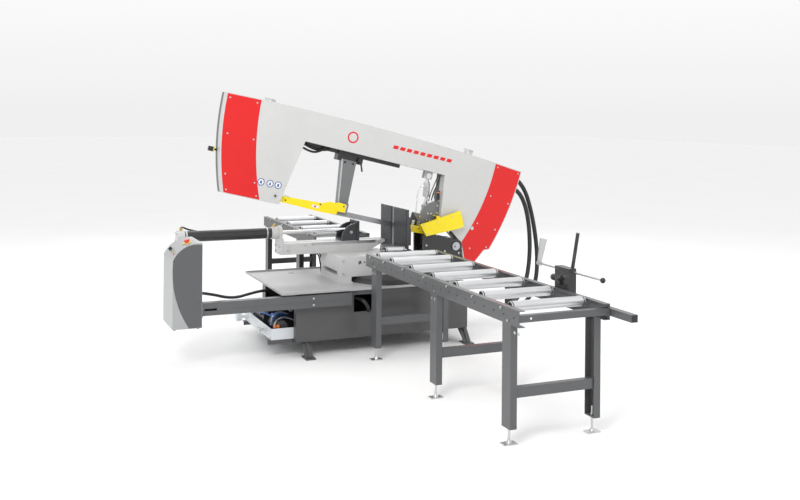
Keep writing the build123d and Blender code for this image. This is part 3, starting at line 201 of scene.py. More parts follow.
def ribbed_rubber():
    """Corrugated hose skin: its ribs are fine diagonal bands in the hose's own coordinates."""
    m, tree, shader = new_material("ribbed_rubber")
    coord = tree.nodes.new("ShaderNodeTexCoord")
    wave = tree.nodes.new("ShaderNodeTexWave")
    wave.bands_direction = "DIAGONAL"
    wave.inputs["Scale"].default_value = 38.0
    wave.inputs["Distortion"].default_value = 0.0
    tree.links.new(coord.outputs["Object"], wave.inputs["Vector"])
    cloud = noise(tree, 30.0)
    tree.links.new(ramp(tree, cloud, [(0.3, (0.010, 0.010, 0.011)), (0.7, (0.020, 0.020, 0.022))]),
                   shader.inputs["Base Color"])
    tree.links.new(spread(tree, cloud, 0.34, 0.5), shader.inputs["Roughness"])
    bump(tree, shader, wave.outputs["Fac"], 0.6, 0.002)
    return m


clear = clear_material()
ribbed = ribbed_rubber()

# ------------------------------------------------------------------ finishes of the CAD nodes
finishes = {
    "base_frame": base_grey, "base_feet": base_grey, "chip_tray": tray_grey, "swivel_ring": iron,
    "vise_pedestal": pale, "vise_beam": pale, "vise_end_fittings": pale, "vise_cylinder": black,
    "fixed_jaws": jaw_iron, "table_frame": leg_grey, "console_arm": leg_grey,
    "console_housing": console_grey, "outfeed_frame": leg_grey, "outfeed_legs": leg_grey,
    "infeed_frame": black, "stop_rail": leg_grey, "hardware": zinc, "turntable": iron,
    "bow_cradle": black, "pivot_pin": steel, "bow_frame": white, "blade": blade_steel,
    "drive_motor": arm_grey, "fixed_guide": arm_grey, "fixed_guards": yellow, "bow_cover": white,
    "cover_bands": red, "drive_wheel": iron, "idler_wheel": iron, "guide_arm": arm_grey,
    "guide_guard": yellow, "tension_knob": soft_black, "lift_cylinder": black, "lift_rod": chrome,
    "moving_jaw": jaw_iron, "vise_rod": chrome, "hydraulic_tray": white_tray, "hydraulic_unit": black,
    "stop_carriage": black, "stop_lever": black, "stop_rod": zinc, "emergency_stop": red_plastic,
    "selector_knob": soft_black, "start_button": green, "stop_button": red_plastic,
}
edge_mm = {"bow_cover": 3.0, "bow_frame": 2.0, "vise_pedestal": 7.0, "vise_beam": 3.0, "bow_cradle": 3.0,
           "moving_jaw": 2.5, "hydraulic_unit": 5.0, "drive_motor": 4.0, "console_housing": 3.0,
           "guide_arm": 3.5, "stop_carriage": 3.0, "vise_end_fittings": 2.5, "base_frame": 2.0}


def round_edges(obj, width_mm, segments):
    mod = obj.modifiers.new("soft_edges", "BEVEL")
    mod.width = width_mm / 1000
    mod.segments = segments
    mod.limit_method = "ANGLE"
    mod.angle_limit = math.radians(40)


for name, obj in nodes.items():
    material = finishes.get(name, roller_steel if "roller" in name else rubber)
    obj.data.materials.clear()
    obj.data.materials.append(material)
    if name in edge_mm:
        round_edges(obj, edge_mm[name], 3)


def second_finish(name, material, chosen):
    """Give the faces whose centre, on the lowered bow and from the mitre axis, is chosen another finish."""
    obj = nodes[name]
    obj.data.materials.append(material)
    back = turn.inverted()
    for face in obj.data.polygons:
        p = (pivot + back @ (face.center - pivot) - mitre) * 1000
        if chosen(p.x, p.y, p.z + mitre.z * 1000, face.normal):
            face.material_index = 1


second_finish("bow_frame", black, lambda x, y, z, n: -938 < x < -66 and 1250 < z < 1283 and y > 14
              or x < -1480 and n.x < -0.7 or 300 < x < 356 and 920 < z < 1284 and y < 76)
second_finish("guide_arm", black, lambda x, y, z, n: z > 1200)
second_finish("fixed_guide", black, lambda x, y, z, n: z < 880)

# ------------------------------------------------------------------ piece builders
def tidy_normals(obj):
    bm = bmesh.new()
    bm.from_mesh(obj.data)
    bmesh.ops.recalc_face_normals(bm, faces=bm.faces)
    bm.to_mesh(obj.data)
    bm.free()


def mesh_piece(name, verts, faces, material, bevel=0.0):
    """Closed mesh with outward normals, not yet riding on a body."""
    data = bpy.data.meshes.new(name)
    data.from_pydata([tuple(v) for v in verts], [], faces)
    data.update()
    obj = bpy.data.objects.new(name, data)
    bpy.context.scene.collection.objects.link(obj)
    data.materials.append(material)
    if bevel:
        round_edges(obj, bevel, 2)
    tidy_normals(obj)
    return obj


def prism(name, outline, depth, material, body, bevel=0.0):
    """Plate: a closed outline of points and the vector it is extruded by."""
    n = len(outline)
    verts = list(outline) + [p + depth for p in outline]
    faces = [tuple(range(n)), tuple(reversed(range(n, 2 * n)))]
    faces += [(i, i + n, (i + 1) % n + n, (i + 1) % n) for i in range(n)]
    obj = mesh_piece(name, verts, faces, material, bevel)
    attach(obj, body)


def lathe(name, a, b, profile, material, body, segments=32):
    """Turned piece between a and b; profile lists (fraction of the way, radius in mm)."""
    axis = b - a
    side = axis.orthogonal().normalized()
    other = axis.normalized().cross(side)
    verts, faces = [], []
    for t, r in profile:
        centre = a + axis * t
        for i in range(segments):
            w = 2 * math.pi * i / segments
            verts.append(centre + (side * math.cos(w) + other * math.sin(w)) * (r / 1000))
    rows = len(profile)
    for k in range(rows - 1):
        for i in range(segments):
            j = (i + 1) % segments
            faces.append((k * segments + i, k * segments + j, (k + 1) * segments + j, (k + 1) * segments + i))
    faces.append(tuple(reversed(range(segments))))
    faces.append(tuple(range((rows - 1) * segments, rows * segments)))
    obj = mesh_piece(name, verts, faces, material)
    for face in obj.data.polygons:
        face.use_smooth = len(face.vertices) == 4
    mod = obj.modifiers.new("crisp", "EDGE_SPLIT")
    mod.split_angle = math.radians(40)
    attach(obj, body)


def bolt_set(name, places, axis, r, height, body, material=zinc, hexed=False):
    """Several screw heads in one piece; each has a socket or six flats."""
    axis = Vector(axis).normalized()
    side = axis.orthogonal().normalized()
    other = axis.cross(side)
    verts, faces = [], []
    sides = 6 if hexed else 20
    for place in places:
        rings = [(0.0, r), (0.8, r), (1.0, r * 0.86)]
        if not hexed:
            rings += [(1.0, r * 0.48), (0.45, r * 0.44)]
        base = len(verts)
        spin = random.random()
        for h, rad in rings:
            for i in range(sides):
                w = 2 * math.pi * i / sides + spin
                verts.append(place + axis * (h * height / 1000)
                             + (side * math.cos(w) + other * math.sin(w)) * (rad / 1000))
        for k in range(len(rings) - 1):
            for i in range(sides):
                j = (i + 1) % sides
                a0 = base + k * sides
                faces.append((a0 + i, a0 + j, a0 + sides + j, a0 + sides + i))
        top = base + (len(rings) - 1) * sides
        faces.append(tuple(range(top, top + sides)))
        faces.append(tuple(reversed(range(base, base + sides))))
    obj = mesh_piece(name, verts, faces, material)
    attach(obj, body)


def brick(name, low, high, material, body, bevel=1.0):
    """Box between its lowest and its highest corner."""
    outline = [Vector((x, y, low.z)) for x, y in ((low.x, low.y), (high.x, low.y), (high.x, high.y),
                                                  (low.x, high.y))]
    prism(name, outline, Vector((0, 0, high.z - low.z)), material, body, bevel)


def pipe(name, points, r, material, body, resolution=8):
    """Bent pipe or fixed line through the points."""
    curve = bpy.data.curves.new(name, "CURVE")
    curve.dimensions = "3D"
    curve.bevel_depth = r / 1000
    curve.bevel_resolution = 5
    curve.resolution_u = resolution
    curve.use_fill_caps = True
    spline = curve.splines.new("NURBS")
    spline.points.add(len(points) - 1)
    for p, q in zip(spline.points, points):
        p.co = (*q, 1.0)
    spline.order_u = 3
    spline.use_endpoint_u = True
    obj = bpy.data.objects.new(name, curve)
    bpy.context.scene.collection.objects.link(obj)
    curve.materials.append(material)
    if body:
        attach(obj, body)
    return obj


# ------------------------------------------------------------------ camera
camera_data = bpy.data.cameras.new("camera")
camera = bpy.data.objects.new("camera", camera_data)
bpy.context.scene.collection.objects.link(camera)
camera.location = at(-3107, -7322, 1843)
look = Matrix.Rotation(math.radians(-23.4), 4, "Z") @ Matrix.Rotation(math.radians(90), 4, "X")
camera.rotation_euler = (look @ Matrix.Rotation(math.radians(0.47), 4, "Z")).to_euler()
camera_data.sensor_width = 36
camera_data.lens = 43.65
camera_data.shift_y = -0.173125
camera_data.clip_end = 200
bpy.context.scene.camera = camera


def sampled(obj):
    """Centreline of a bevelled curve, sampled closely."""
    depth = obj.data.bevel_depth
    obj.data.bevel_depth = 0.0
    bpy.context.view_layer.update()
    shape = obj.evaluated_get(bpy.context.evaluated_depsgraph_get())
    mesh = shape.to_mesh()
    line = [obj.matrix_world @ v.co for v in mesh.vertices]
    shape.to_mesh_clear()
    obj.data.bevel_depth = depth
    bpy.context.view_layer.update()
    return line


def as_mesh(obj, name, material):
    """A mesh copy of a bevelled curve."""
    bpy.context.view_layer.update()
    shape = obj.evaluated_get(bpy.context.evaluated_depsgraph_get())
    data = bpy.data.meshes.new_from_object(shape)
    data.name = name
    made = bpy.data.objects.new(name, data)
    bpy.context.scene.collection.objects.link(made)
    made.matrix_world = obj.matrix_world.copy()
    data.materials.clear()
    data.materials.append(material)
    for face in data.polygons:
        face.use_smooth = True
    bpy.data.objects.remove(obj)
    return made


hose_routes = {
    "hose_a": (150, [(1127, 1300), (1250, 1262), (1340, 1160), (1395, 1010), (1440, 830), (1475, 600),
                     (1472, 360), (1395, 170), (1225, 85), (1020, 100), (840, 200), (720, 350),
                     (650, 510), (587, 600)]),
    "hose_b": (112, [(1130, 1215), (1245, 1160), (1315, 1050), (1355, 905), (1375, 725), (1372, 530),
                     (1340, 345), (1245, 185), (1080, 105), (890, 130), (745, 250), (660, 410),
                     (589, 535)]),
}
for node, (y, route) in hose_routes.items():
    curve = pipe(node + "_line", [at(x, y, z) for x, z in route], 19.0, ribbed, None, 12)
    centre = sampled(curve)
    tube = as_mesh(curve, node + "_tube", ribbed)
    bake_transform(tube)
    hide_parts(node)
conduit = pipe("conduit_line", [at(*p) for p in ((-1650, -420, 537), (-1560, -380, 515), (-1455, -315, 475),
                                                 (-1350, -235, 452), (-1240, -150, 455), (-1130, -75, 458),
                                                 (-1030, -5, 448), (-945, 60, 440))], 11.0, ribbed, None, 12)
centre = sampled(conduit)
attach(conduit, "machine")
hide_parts("console_conduit")


# ------------------------------------------------------------------ bow details
front = -75.0                # the cover's front plane
rear_duct_y, rib_y = 89.0, 81.0
pad_y = -32.0                # front of the carbide pads
guide_guard_y = -40.2        # front of the movable guide's guard
big_guard_y = -138           # front of the big fixed guard


def bow_strip(name, points, material, body, thickness=2.0, y=front):
    """Flat plate facing the front, its outline given on the lowered bow."""
    outline = [on_bow(x, y, z) for x, z in points]
    prism(name, outline, on_bow(0, -thickness, 0) - on_bow(0, 0, 0), material, body)


def arc3(a, m, b, n):
    """Points along the arc from a through m to b, in n steps, as X and Z."""
    ax, az = a
    bx, bz = m
    cx, cz = b
    d = 2 * (ax * (bz - cz) + bx * (cz - az) + cx * (az - bz))
    a2, b2, c2 = ax * ax + az * az, bx * bx + bz * bz, cx * cx + cz * cz
    ux = (a2 * (bz - cz) + b2 * (cz - az) + c2 * (az - bz)) / d
    uz = (a2 * (cx - bx) + b2 * (ax - cx) + c2 * (bx - ax)) / d
    r = math.hypot(ax - ux, az - uz)
    t0, t1, t2 = (math.atan2(p[1] - uz, p[0] - ux) for p in (a, m, b))
    two = 2 * math.pi
    if (t1 - t0) % two > (t2 - t0) % two:
        span = -((t0 - t2) % two)
    else:
        span = (t2 - t0) % two
    angles = [t0 + span * i / n for i in range(n + 1)]
    return [(ux + r * math.cos(w), uz + r * math.sin(w)) for w in angles]


for number, (x, z) in enumerate(((-1214, 898), (-1140, 899), (-1075, 901))):
    lathe(f"pictogram_ring_{number}", on_bow(x, front - 0.1, z), on_bow(x, front - 1.5, z),
          [(0, 28), (1, 28)], pictogram_blue, "cover")
    lathe(f"pictogram_face_{number}", on_bow(x, front - 1.4, z), on_bow(x, front - 2.0, z),
          [(0, 22), (1, 22)], pictogram_white, "cover")
    bar = [(x - 9, z - 12), (x + 9, z - 12), (x + 5 - 4 * (number % 2), z + 12), (x - 6, z + 10)]
    bow_strip(f"pictogram_mark_{number}", bar, pictogram_blue, "cover", 0.6, front - 2.0)
lathe("cover_latch", on_bow(-1079, front, 817), on_bow(-1079, front - 6, 817), [(0, 17), (0.8, 17), (1, 14)],
      zinc, "cover")
lathe("cover_latch_core", on_bow(-1079, front - 5.5, 817), on_bow(-1079, front - 8, 817), [(0, 9), (1, 8)],
      soft_black, "cover")
lathe("cover_latch_right", on_bow(660, front, 900), on_bow(660, front - 6, 900),
      [(0, 15), (0.8, 15), (1, 12)],
      zinc, "cover")
bolt_set("band_screws", [on_bow(x, front - 1.6, z) for x, z in
                         ((-1600, 1470), (-1385, 1480), (-1556, 1200), (-1348, 1200), (-1500, 900),
                          (-1262, 880), (-1466, 785), (-1225, 785), (780, 1450), (985, 1440), (770, 1200),
                          (950, 1170), (700, 950), (880, 930), (679, 732), (830, 770))],
         (0, -1, 0), 6.5, 3.0, "cover", zinc)
# plain red dashes where a maker would print a type mark; they carry no letters
for number in range(9):
    x0 = -205 + 62 * number
    bow_strip(f"type_dash_{number}", [(x0, 1392), (x0 + 44, 1392), (x0 + 52, 1420), (x0 + 8, 1420)], red,
              "cover", 0.8)
lathe("maker_badge", on_bow(-560, front, 1400), on_bow(-560, front - 1.0, 1400), [(0, 46), (1, 46)], red,
      "cover", 48)
lathe("maker_badge_core", on_bow(-560, front - 0.9, 1400), on_bow(-560, front - 1.8, 1400),
      [(0, 34), (1, 34)], white, "cover", 48)

# tension knob ring
lathe("tension_ring", on_bow(-1606, 54.5, 1062), on_bow(-1600, 54.5, 1062), [(0, 22), (1, 22)],
      yellow, "tension")

# bow back: ribs, cable duct, bolts, fan grille
for number, x in enumerate((-1120, -760, -400, -40, 320)):
    bow_strip(f"back_rib_{number}", [(x, 1330), (x + 26, 1330), (x + 26, 1462), (x, 1462)], white, "bow",
              6.0, rib_y)
bow_strip("back_duct", [(-900, 1392), (440, 1392), (440, 1430), (-900, 1430)], soft_black, "bow", 8.0,
          rear_duct_y)
bolt_set("gearbox_bolts", [on_bow(630 + dx, 225.5, 1130 + dz) for dx in (-104, 104) for dz in (-112, 112)],
         (0, 1, 0), 9.0, 7.0, "bow", zinc)
rib_angles = [math.radians(60 * i) for i in range(6)]
bolt_set("back_screws", [on_bow(x, 75, 1470) for x in (-1380, -1180, -700, -300, 100, 900)]
         + [on_bow(-1300 + 150 * math.cos(w), 75, 1130 + 150 * math.sin(w)) for w in rib_angles],
         (0, 1, 0), 8.0, 6.0, "bow", zinc)
lathe("fan_grille", on_bow(630, 515.5, 1130), on_bow(630, 519, 1130), [(0, 86), (1, 84)], soft_black, "bow",
      48)

# movable guide: screws, edge strip, guard block, hand lever, carbide pads, guard marks
bolt_set("guide_screws", [on_bow(x, -8, z) for x, z in ((-556, 1196), (-486, 1196))], (0, -1, 0), 8.0, 6.0,
         "guide", soft_black)
bow_strip("guide_arm_edge", [(-590, 1216), (-578, 1216), (-528, 862), (-540, 862)], zinc, "guide", 1.2, -8.0)
bow_strip("guide_guard_block", [(-586, 800), (-476, 800), (-476, 866), (-548, 872)], yellow, "guide", 2.0,
          guide_guard_y)
bolt_set("guide_guard_screws", [on_bow(x, -42.2, z) for x, z in ((-494, 848), (-690, 826), (-980, 800))],
         (0, -1, 0), 6.0, 3.0, "guide", soft_black)
lathe("guide_lever_hub", on_bow(-440, 2, 1236), on_bow(-440, -26, 1236), [(0, 18), (1, 16)], soft_black,
      "guide")
pipe("guide_lever", [on_bow(-440, -22, 1236), on_bow(-420, -34, 1196), on_bow(-408, -40, 1150)], 7.0,
     soft_black, "guide")
for number, x in enumerate((-522, -478)):
    bow_strip(f"guide_pad_{number}", [(x - 13, 800), (x + 13, 800), (x + 13, 862), (x - 13, 862)], zinc,
              "guide", 5.0, pad_y)
lathe("guard_mark_red", on_bow(-730, -40.8, 801), on_bow(-730, -41.3, 801), [(0, 8), (1, 8)], red, "guide")
bow_strip("guard_mark", [(-758, 792), (-700, 790), (-700, 812), (-758, 812)], pictogram_white, "guide", 0.6,
          guide_guard_y)

# beam underside: two black hoses that leave the idler housing and run along the beam
pipe("beam_hose_1", [on_bow(-912, 6, 1262), on_bow(-850, 4, 1240), on_bow(-760, 6, 1246),
                     on_bow(-700, 8, 1268)],
     11.0, rubber, "bow")
pipe("beam_hose_2", [on_bow(-930, -20, 1230), on_bow(-870, -22, 1212), on_bow(-800, -20, 1222),
                     on_bow(-740, -12, 1268)], 9.0, rubber, "bow")

# fixed guide: screws, carbide pads, coolant line and tap, cables, sensor
bolt_set("fixed_guide_screws", [on_bow(x, -32, z) for x, z in ((249, 939), (276, 944), (252, 884), (282, 888),
                                                              (318, 1020), (330, 960))],
         (0, -1, 0), 9.0, 7.0, "bow", zinc)
for number, x in enumerate((134, 182)):
    bow_strip(f"fixed_pad_{number}", [(x - 12, 800), (x + 12, 800), (x + 12, 862), (x - 12, 862)], zinc,
              "bow", 5.0, pad_y)
pipe("coolant_loop", [on_bow(150, -10, 908), on_bow(140, -26, 985), on_bow(118, -30, 1080),
                      on_bow(150, -26, 1170), on_bow(205, -20, 1150), on_bow(212, -14, 1040),
                      on_bow(190, -10, 930)], 5.0, clear, "bow")
pipe("sensor_cable", [on_bow(262, -20, 1052), on_bow(256, -34, 1120), on_bow(284, -30, 1200),
                      on_bow(296, -14, 1276)], 5.0, rubber, "bow")
pipe("sensor_cable_2", [on_bow(240, -16, 1040), on_bow(228, -40, 1100), on_bow(250, -38, 1190),
                        on_bow(276, -16, 1276)], 4.0, rubber, "bow")
lathe("sensor_body", on_bow(312, -34, 1070), on_bow(300, -34, 1142), [(0, 13), (1, 13)], soft_black, "bow")
lathe("sensor_ring", on_bow(303, -34, 1124), on_bow(301, -34, 1134), [(0, 14), (1, 14)], orange, "bow")
lathe("coolant_tap", on_bow(176, -24, 900), on_bow(176, -50, 900), [(0, 10), (0.6, 10), (1, 7)], brass, "bow")

# big guard: embossed dimples and edge screws
bolt_set("guard_screws", [on_bow(x, big_guard_y, z) for x, z in ((186, 834), (300, 892), (420, 958),
                                                                 (494, 998),
                                                         (534, 896), (420, 832), (320, 786), (246, 778))],
         (0, -1, 0), 6.0, 3.0, "bow", zinc)
bolt_set("guard_dimples", [on_bow(x, big_guard_y, z) for x, z in ((330, 870), (372, 894), (414, 918),
                                                                  (346, 842),
                                                          (388, 866), (430, 890))],
         (0, -1, 0), 8.0, 1.6, "bow", yellow)
bolt_set("small_guard_screws", [on_bow(x, -44, z) for x, z in ((140, 806), (190, 808))], (0, -1, 0), 7.0, 4.0,
         "bow", zinc)

# ------------------------------------------------------------------ turntable and lift
bolt_set("pin_socket", [at(532, -120.2, 727)], (0, -1, 0), 12.0, 6.0, "turntable", zinc)
bolt_set("cradle_screws", [at(x, -100, z) for x, z in ((270, 700), (262, 745), (430, 690), (560, 668))],
         (0, -1, 0), 9.0, 7.0, "turntable", zinc)
disc_angles = [math.radians(30 * i + 15) for i in range(12)]
bolt_set("disc_screws", [at(330 * math.cos(w), 330 * math.sin(w), 529.8) for w in disc_angles], (0, 0, 1),
         9.0,
         5.0, "turntable", zinc)
lift_axis = Vector(joints["lift_stroke"]["axis"])
lift_foot = Vector(joints["lift_pivot"]["pos_m"])


def on_lift(mm):
    return lift_foot + lift_axis * (mm / 1000)


lathe("lift_sleeve", on_lift(444), on_lift(560), [(0, 26), (0.05, 28), (0.95, 28), (1, 26)], white,
      "lift_piston")
lathe("lift_band", on_lift(330), on_lift(338), [(0, 30), (1, 30)], zinc, "lift_barrel")
lathe("lift_port", on_lift(300) + Vector((0, -0.028, 0)), on_lift(300) + Vector((0, -0.052, 0)),
      [(0, 9), (1, 9)], brass, "lift_barrel")
# nuts at both ends of each hose, and the way each hose leaves the arm's port
outlet_nut = Vector((0.03, 0, -0.009))
for number, (node, way) in enumerate((("hose_a", Vector((0.79, 0, -0.61))),
                                      ("hose_b", Vector((0.6, 0, -0.8))))):
    y, route = hose_routes[node]
    tail = at(571, y, route[-1][1] + 12)
    lathe(f"port_nut_{number}", tail, tail + way * 0.034, [(0, 24), (0.8, 24), (1, 20)], zinc, "turntable", 6)
    out = at(1121, y, route[0][1] + 2)
    lathe(f"outlet_nut_{number}", out, out + outlet_nut, [(0, 24), (0.8, 24), (1, 20)], zinc, "bow", 6)

# ------------------------------------------------------------------ vise and table details
bolt_set("pedestal_screws", [at(x, -132, z) for x, z in ((-470, 660), (-470, 560), (-60, 660))], (0, -1, 0),
         9.0,
         7.0, "machine", zinc)
bolt_set("beam_screws", [at(x, 138, 760) for x in (-840, -700, -420, -60)], (0, -1, 0), 7.0, 5.0, "machine",
         zinc)
for number in range(28):
    x = -640 + 20 * number
    tall = 14 if number % 5 == 0 else 8
    brick(f"rule_tick_{number}", at(x, 136.6, 776 - tall), at(x + 2.2, 138.2, 776), soft_black, "machine",
          0.0)
brick("vise_rule", at(-648, 137.2, 756), at(-92, 138.4, 778), zinc, "machine", 0.0)
bolt_set("jaw_screws", [at(-259, y, z) for y in (166, 266) for z in (830, 900)], (-1, 0, 0), 8.0, 6.0, "jaw",
         zinc)
bolt_set("jaw_front_screw", [at(-306, 138, 850)], (0, -1, 0), 13.0, 8.0, "jaw", zinc)
for number, (y0, y1) in enumerate(((-290, -26), (24, 240))):
    brick(f"jaw_plate_{number}", at(-2.4, y0, 782), at(0.2, y1, 1058), jaw_iron, "machine", 0.8)
bolt_set("fixed_jaw_screws", [at(-2.4, y, z) for y in (-250, -90, 80, 190) for z in (820, 1030)], (-1, 0, 0),
         7.0,
         1.5, "machine", jaw_iron)
vise_y, vise_z = 215.5, 862.0
for number, x in enumerate((-938, -1680)):
    lathe(f"vise_port_{number}", at(x, vise_y, vise_z + 46), at(x, vise_y, vise_z + 72), [(0, 11), (1, 11)],
          brass,
          "machine", 6)
pipe("vise_line_1", [at(-938, vise_y, vise_z + 66), at(-930, vise_y + 45, vise_z + 76),
                     at(-902, 308, 895), at(-866, 314, 790), at(-780, 312, 724), at(-530, 312, 700),
                     at(-490, 326, 600), at(-474, 340, 500)], 7.0, rubber, "machine")
pipe("vise_line_2", [at(-1680, vise_y, vise_z + 66), at(-1668, vise_y + 34, vise_z + 76),
                     at(-1600, 270, 900), at(-1300, 270, 852), at(-1010, 276, 842), at(-900, 322, 816),
                     at(-850, 330, 750), at(-780, 328, 700), at(-530, 328, 684), at(-500, 345, 580),
                     at(-486, 354, 500)], 7.0, rubber, "machine")
for number, x in enumerate((-1640, -1000)):
    lathe(f"tie_band_{number}", at(x - 5, vise_y, vise_z), at(x + 5, vise_y, vise_z), [(0, 45), (1, 45)],
          zinc,
          "machine")
bolt_set("cap_bolts_left", [at(-1712, vise_y + dy, vise_z + dz) for dy in (-30, 30) for dz in (-30, 30)],
         (-1, 0, 0), 8.0, 7.0, "machine", zinc)

# ------------------------------------------------------------------ cabinet and chip tray details
brick("door_plate", at(495, -190, 182), at(498, 250, 408), base_grey, "machine", 1.0)
lathe("door_lock", at(498, 200, 296), at(505, 200, 296), [(0, 14), (1, 12)], zinc, "machine")
for number in range(8):
    brick(f"door_louvre_{number}", at(498, -130, 214 + 16 * number), at(501, 60, 220 + 16 * number),
          base_grey,
          "machine", 0.8)
brick("upper_band", at(-884, -396, 440), at(494, -392, 479), dark_panel, "machine", 1.0)
brick("rear_panel", at(-700, 548, 180), at(300, 551, 430), base_grey, "machine", 1.0)
bolt_set("rear_screws", [at(x, 551, z) for x in (-680, -200, 280) for z in (196, 414)], (0, 1, 0), 7.0, 4.0,
         "machine", zinc)
pipe("chute_hose", [at(-430, -300, 400), at(-420, -400, 404), at(-396, -428, 380), at(-372, -424, 336),
                    at(-360, -390, 310), at(-350, -330, 300)], 15.0, rubber, "machine")
lathe("tray_drain", at(-700, 500, 484), at(-700, 500, 487), [(0, 34), (1, 34)], zinc, "machine")
for number in range(6):
    brick(f"drain_slot_{number}", at(-724 + 9 * number, 482, 487), at(-720 + 9 * number, 518, 487.6),
          soft_black,
          "machine", 0.0)
bolt_set("tray_screws", [at(x, y, 484) for x in (-1020, -600, 400) for y in (-400, 610)], (0, 0, 1), 8.0, 4.0,
         "machine", zinc)

# ------------------------------------------------------------------ hydraulic tray
pump_x, pump_z = -1011, 206
for number in range(11):
    y = -244 + 15 * number
    lathe(f"pump_fin_{number}", at(pump_x, y, pump_z), at(pump_x, y + 5, pump_z), [(0, 57), (1, 57)], black,
          "tray", 40)
lathe("pump_face", at(pump_x, -264, pump_z), at(pump_x, -262, pump_z), [(0, 46), (1, 50)], dark_panel, "tray",
      40)
brick("pump_box", at(-1050, -200, 258), at(-975, -110, 292), blue, "tray", 3.0)
pipe("unit_line_blue", [at(-1085, 50, 250), at(-1100, 20, 280), at(-1095, -60, 290), at(-1060, -120, 276),
                        at(-1040, -150, 262)], 6.0, blue, "tray")
pipe("unit_line_black", [at(-1085, 80, 284), at(-1094, 40, 316), at(-1040, -20, 320), at(-980, -60, 296),
                         at(-960, -110, 262)], 8.0, rubber, "tray")
pipe("unit_line_clear", [at(-1085, 110, 284), at(-1098, 130, 312), at(-1080, 200, 322), at(-1010, 240, 300),
                         at(-990, 250, 262)], 5.0, clear, "tray")
for number, colour in enumerate((blue, orange, chrome)):
    lathe(f"valve_coil_{number}", at(-1074, 54 + 30 * number, 284), at(-1046, 54 + 30 * number, 284),
          [(0, 13), (1, 13)], colour, "tray", 24)
for number, (colour, r) in enumerate(((clear, 6), (rubber, 7), (blue, 6), (clear, 5))):
    y = -300 + 34 * number
    pipe(f"tank_loop_{number}", [at(-1080, y, 222), at(-1082, y - 10, 262 + 6 * number),
                                 at(-1030, y + 20, 288 + 5 * number), at(-960, y + 60, 276 + 8 * number),
                                 at(-900, y + 70, 248), at(-872, y + 60, 222)], r, colour, "tray")
for number, x in enumerate((-1072, -1046)):
    lathe(f"tank_fitting_{number}", at(x, -292, 216), at(x, -292, 240), [(0, 12), (0.7, 12), (1, 8)], orange,
          "tray", 20)
lathe("drawer_lock", at(-1106.5, -180, 176), at(-1116, -180, 176), [(0, 15), (1, 13)], zinc, "tray")
lathe("filler_cap", at(-891, 218, 294), at(-891, 218, 306), [(0, 33), (0.7, 33), (1, 28)], soft_black, "tray")
lathe("gauge_glass", at(-861, -2.0, 286), at(-861, -1.2, 286), [(0, 20), (1, 20)], pictogram_white, "tray")
bolt_set("drawer_screws", [at(-1107, y, z) for y in (-300, 60, 420) for z in (150, 200)], (-1, 0, 0), 6.0,
         3.5,
         "tray", zinc)

# ------------------------------------------------------------------ console
case_low, case_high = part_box("console_housing")
face_y = case_low.y


def face_point(x, z):
    return Vector((case_low.x + x / 1000, face_y, case_low.z + z / 1000))


sweep = arc3((2, 484), (30, 190), (116, 3), 18)
prism("console_face", [face_point(x, z) for x, z in sweep] + [face_point(205, 3), face_point(205, 588)]
      + [face_point(x, z) for x, z in arc3((205, 588), (82, 571), (2, 484), 14)][1:-1],
      Vector((0, -0.0015, 0)), dark_panel, "machine")
back_y = case_high.y
prism("console_back_face", [Vector((p.x, back_y, p.z)) for p in
                            [face_point(12, 12), face_point(196, 12), face_point(196, 560),
                             face_point(12, 450)]],
      Vector((0, 0.0015, 0)), dark_panel, "machine", 1.0)
bolt_set("console_feet", [Vector((case_low.x + dx, case_low.y + 0.03, case_low.z)) for dx in (0.02, 0.185)]
         + [Vector((case_low.x + dx, case_high.y - 0.03, case_low.z)) for dx in (0.02, 0.185)],
         (0, 0, -1), 9.0, 9.0, "machine", soft_black)
# Each control's joint, whether that joint's axis points out of the panel (1) or into it (-1), and its ring:
# how far it stands out from the control's middle, its height and its radius in mm, and its finish.
controls = {
    "emergency_stop": ("emergency_stop_push", -1, 1.0, 1.6, 33.0, yellow),
    "selector_knob": ("selector_turn", 1, 0.2, 1.2, 17.0, zinc),
    "start_button": ("start_push", -1, 7.2, 1.2, 13.0, zinc),
    "stop_button": ("stop_push", -1, 7.2, 1.2, 13.0, zinc),
}
for name, (joint, way, stand, height, radius, colour) in controls.items():
    normal = Vector(joints[joint]["axis"]).normalized() * way
    lo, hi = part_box(name)
    ring_at = (lo + hi) / 2 + normal * (stand / 1000)
    lathe(name + "_ring", ring_at, ring_at + normal * (height / 1000), [(0, radius), (1, radius - 0.6)],
          colour,
          "machine", 40)
lo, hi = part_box("console_arm")
brick("arm_seam", Vector((lo.x + 0.2, lo.y - 0.001, lo.z + 0.04)), Vector((hi.x - 0.02, lo.y, lo.z + 0.042)),
      dark_panel, "machine", 0.0)
brick("arm_flange", Vector((lo.x, lo.y - 0.004, lo.z - 0.01)),
      Vector((lo.x + 0.008, hi.y + 0.004, hi.z + 0.01)),
      leg_grey, "machine", 1.0)

# ------------------------------------------------------------------ roller tables
# end caps of the rollers, each set in by its own distance from the axle's left and right end
for name in nodes:
    if "_roller" not in name:
        continue
    if name == "table_roller":
        body, left, right = "inner_roller", 0.031, 0.024
    else:
        table = "out_roller_" if name.startswith("outfeed") else "in_roller_"
        body, left, right = table + name.rsplit("_", 1)[1], 0.054, 0.054
    lo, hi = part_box(name)
    mid_y, mid_z = (lo.y + hi.y) / 2, (lo.z + hi.z) / 2
    for tag, x, way in (("left", lo.x + left, 1), ("right", hi.x - right, -1)):
        a = Vector((x - way * 0.0015, mid_y, mid_z))
        lathe(f"{name}_cap_{tag}", a, a + Vector((way * 0.013, 0, 0)),
              [(0, 20), (0.15, 29.8), (0.9, 30.3), (1, 30.1)], soft_black, body, 36)
bolt_set("rail_small_screws", [at(-417, y, 718) for y in range(-2700, -520, 115)], (-1, 0, 0), 5.0, 1.6,
         "machine", soft_black)
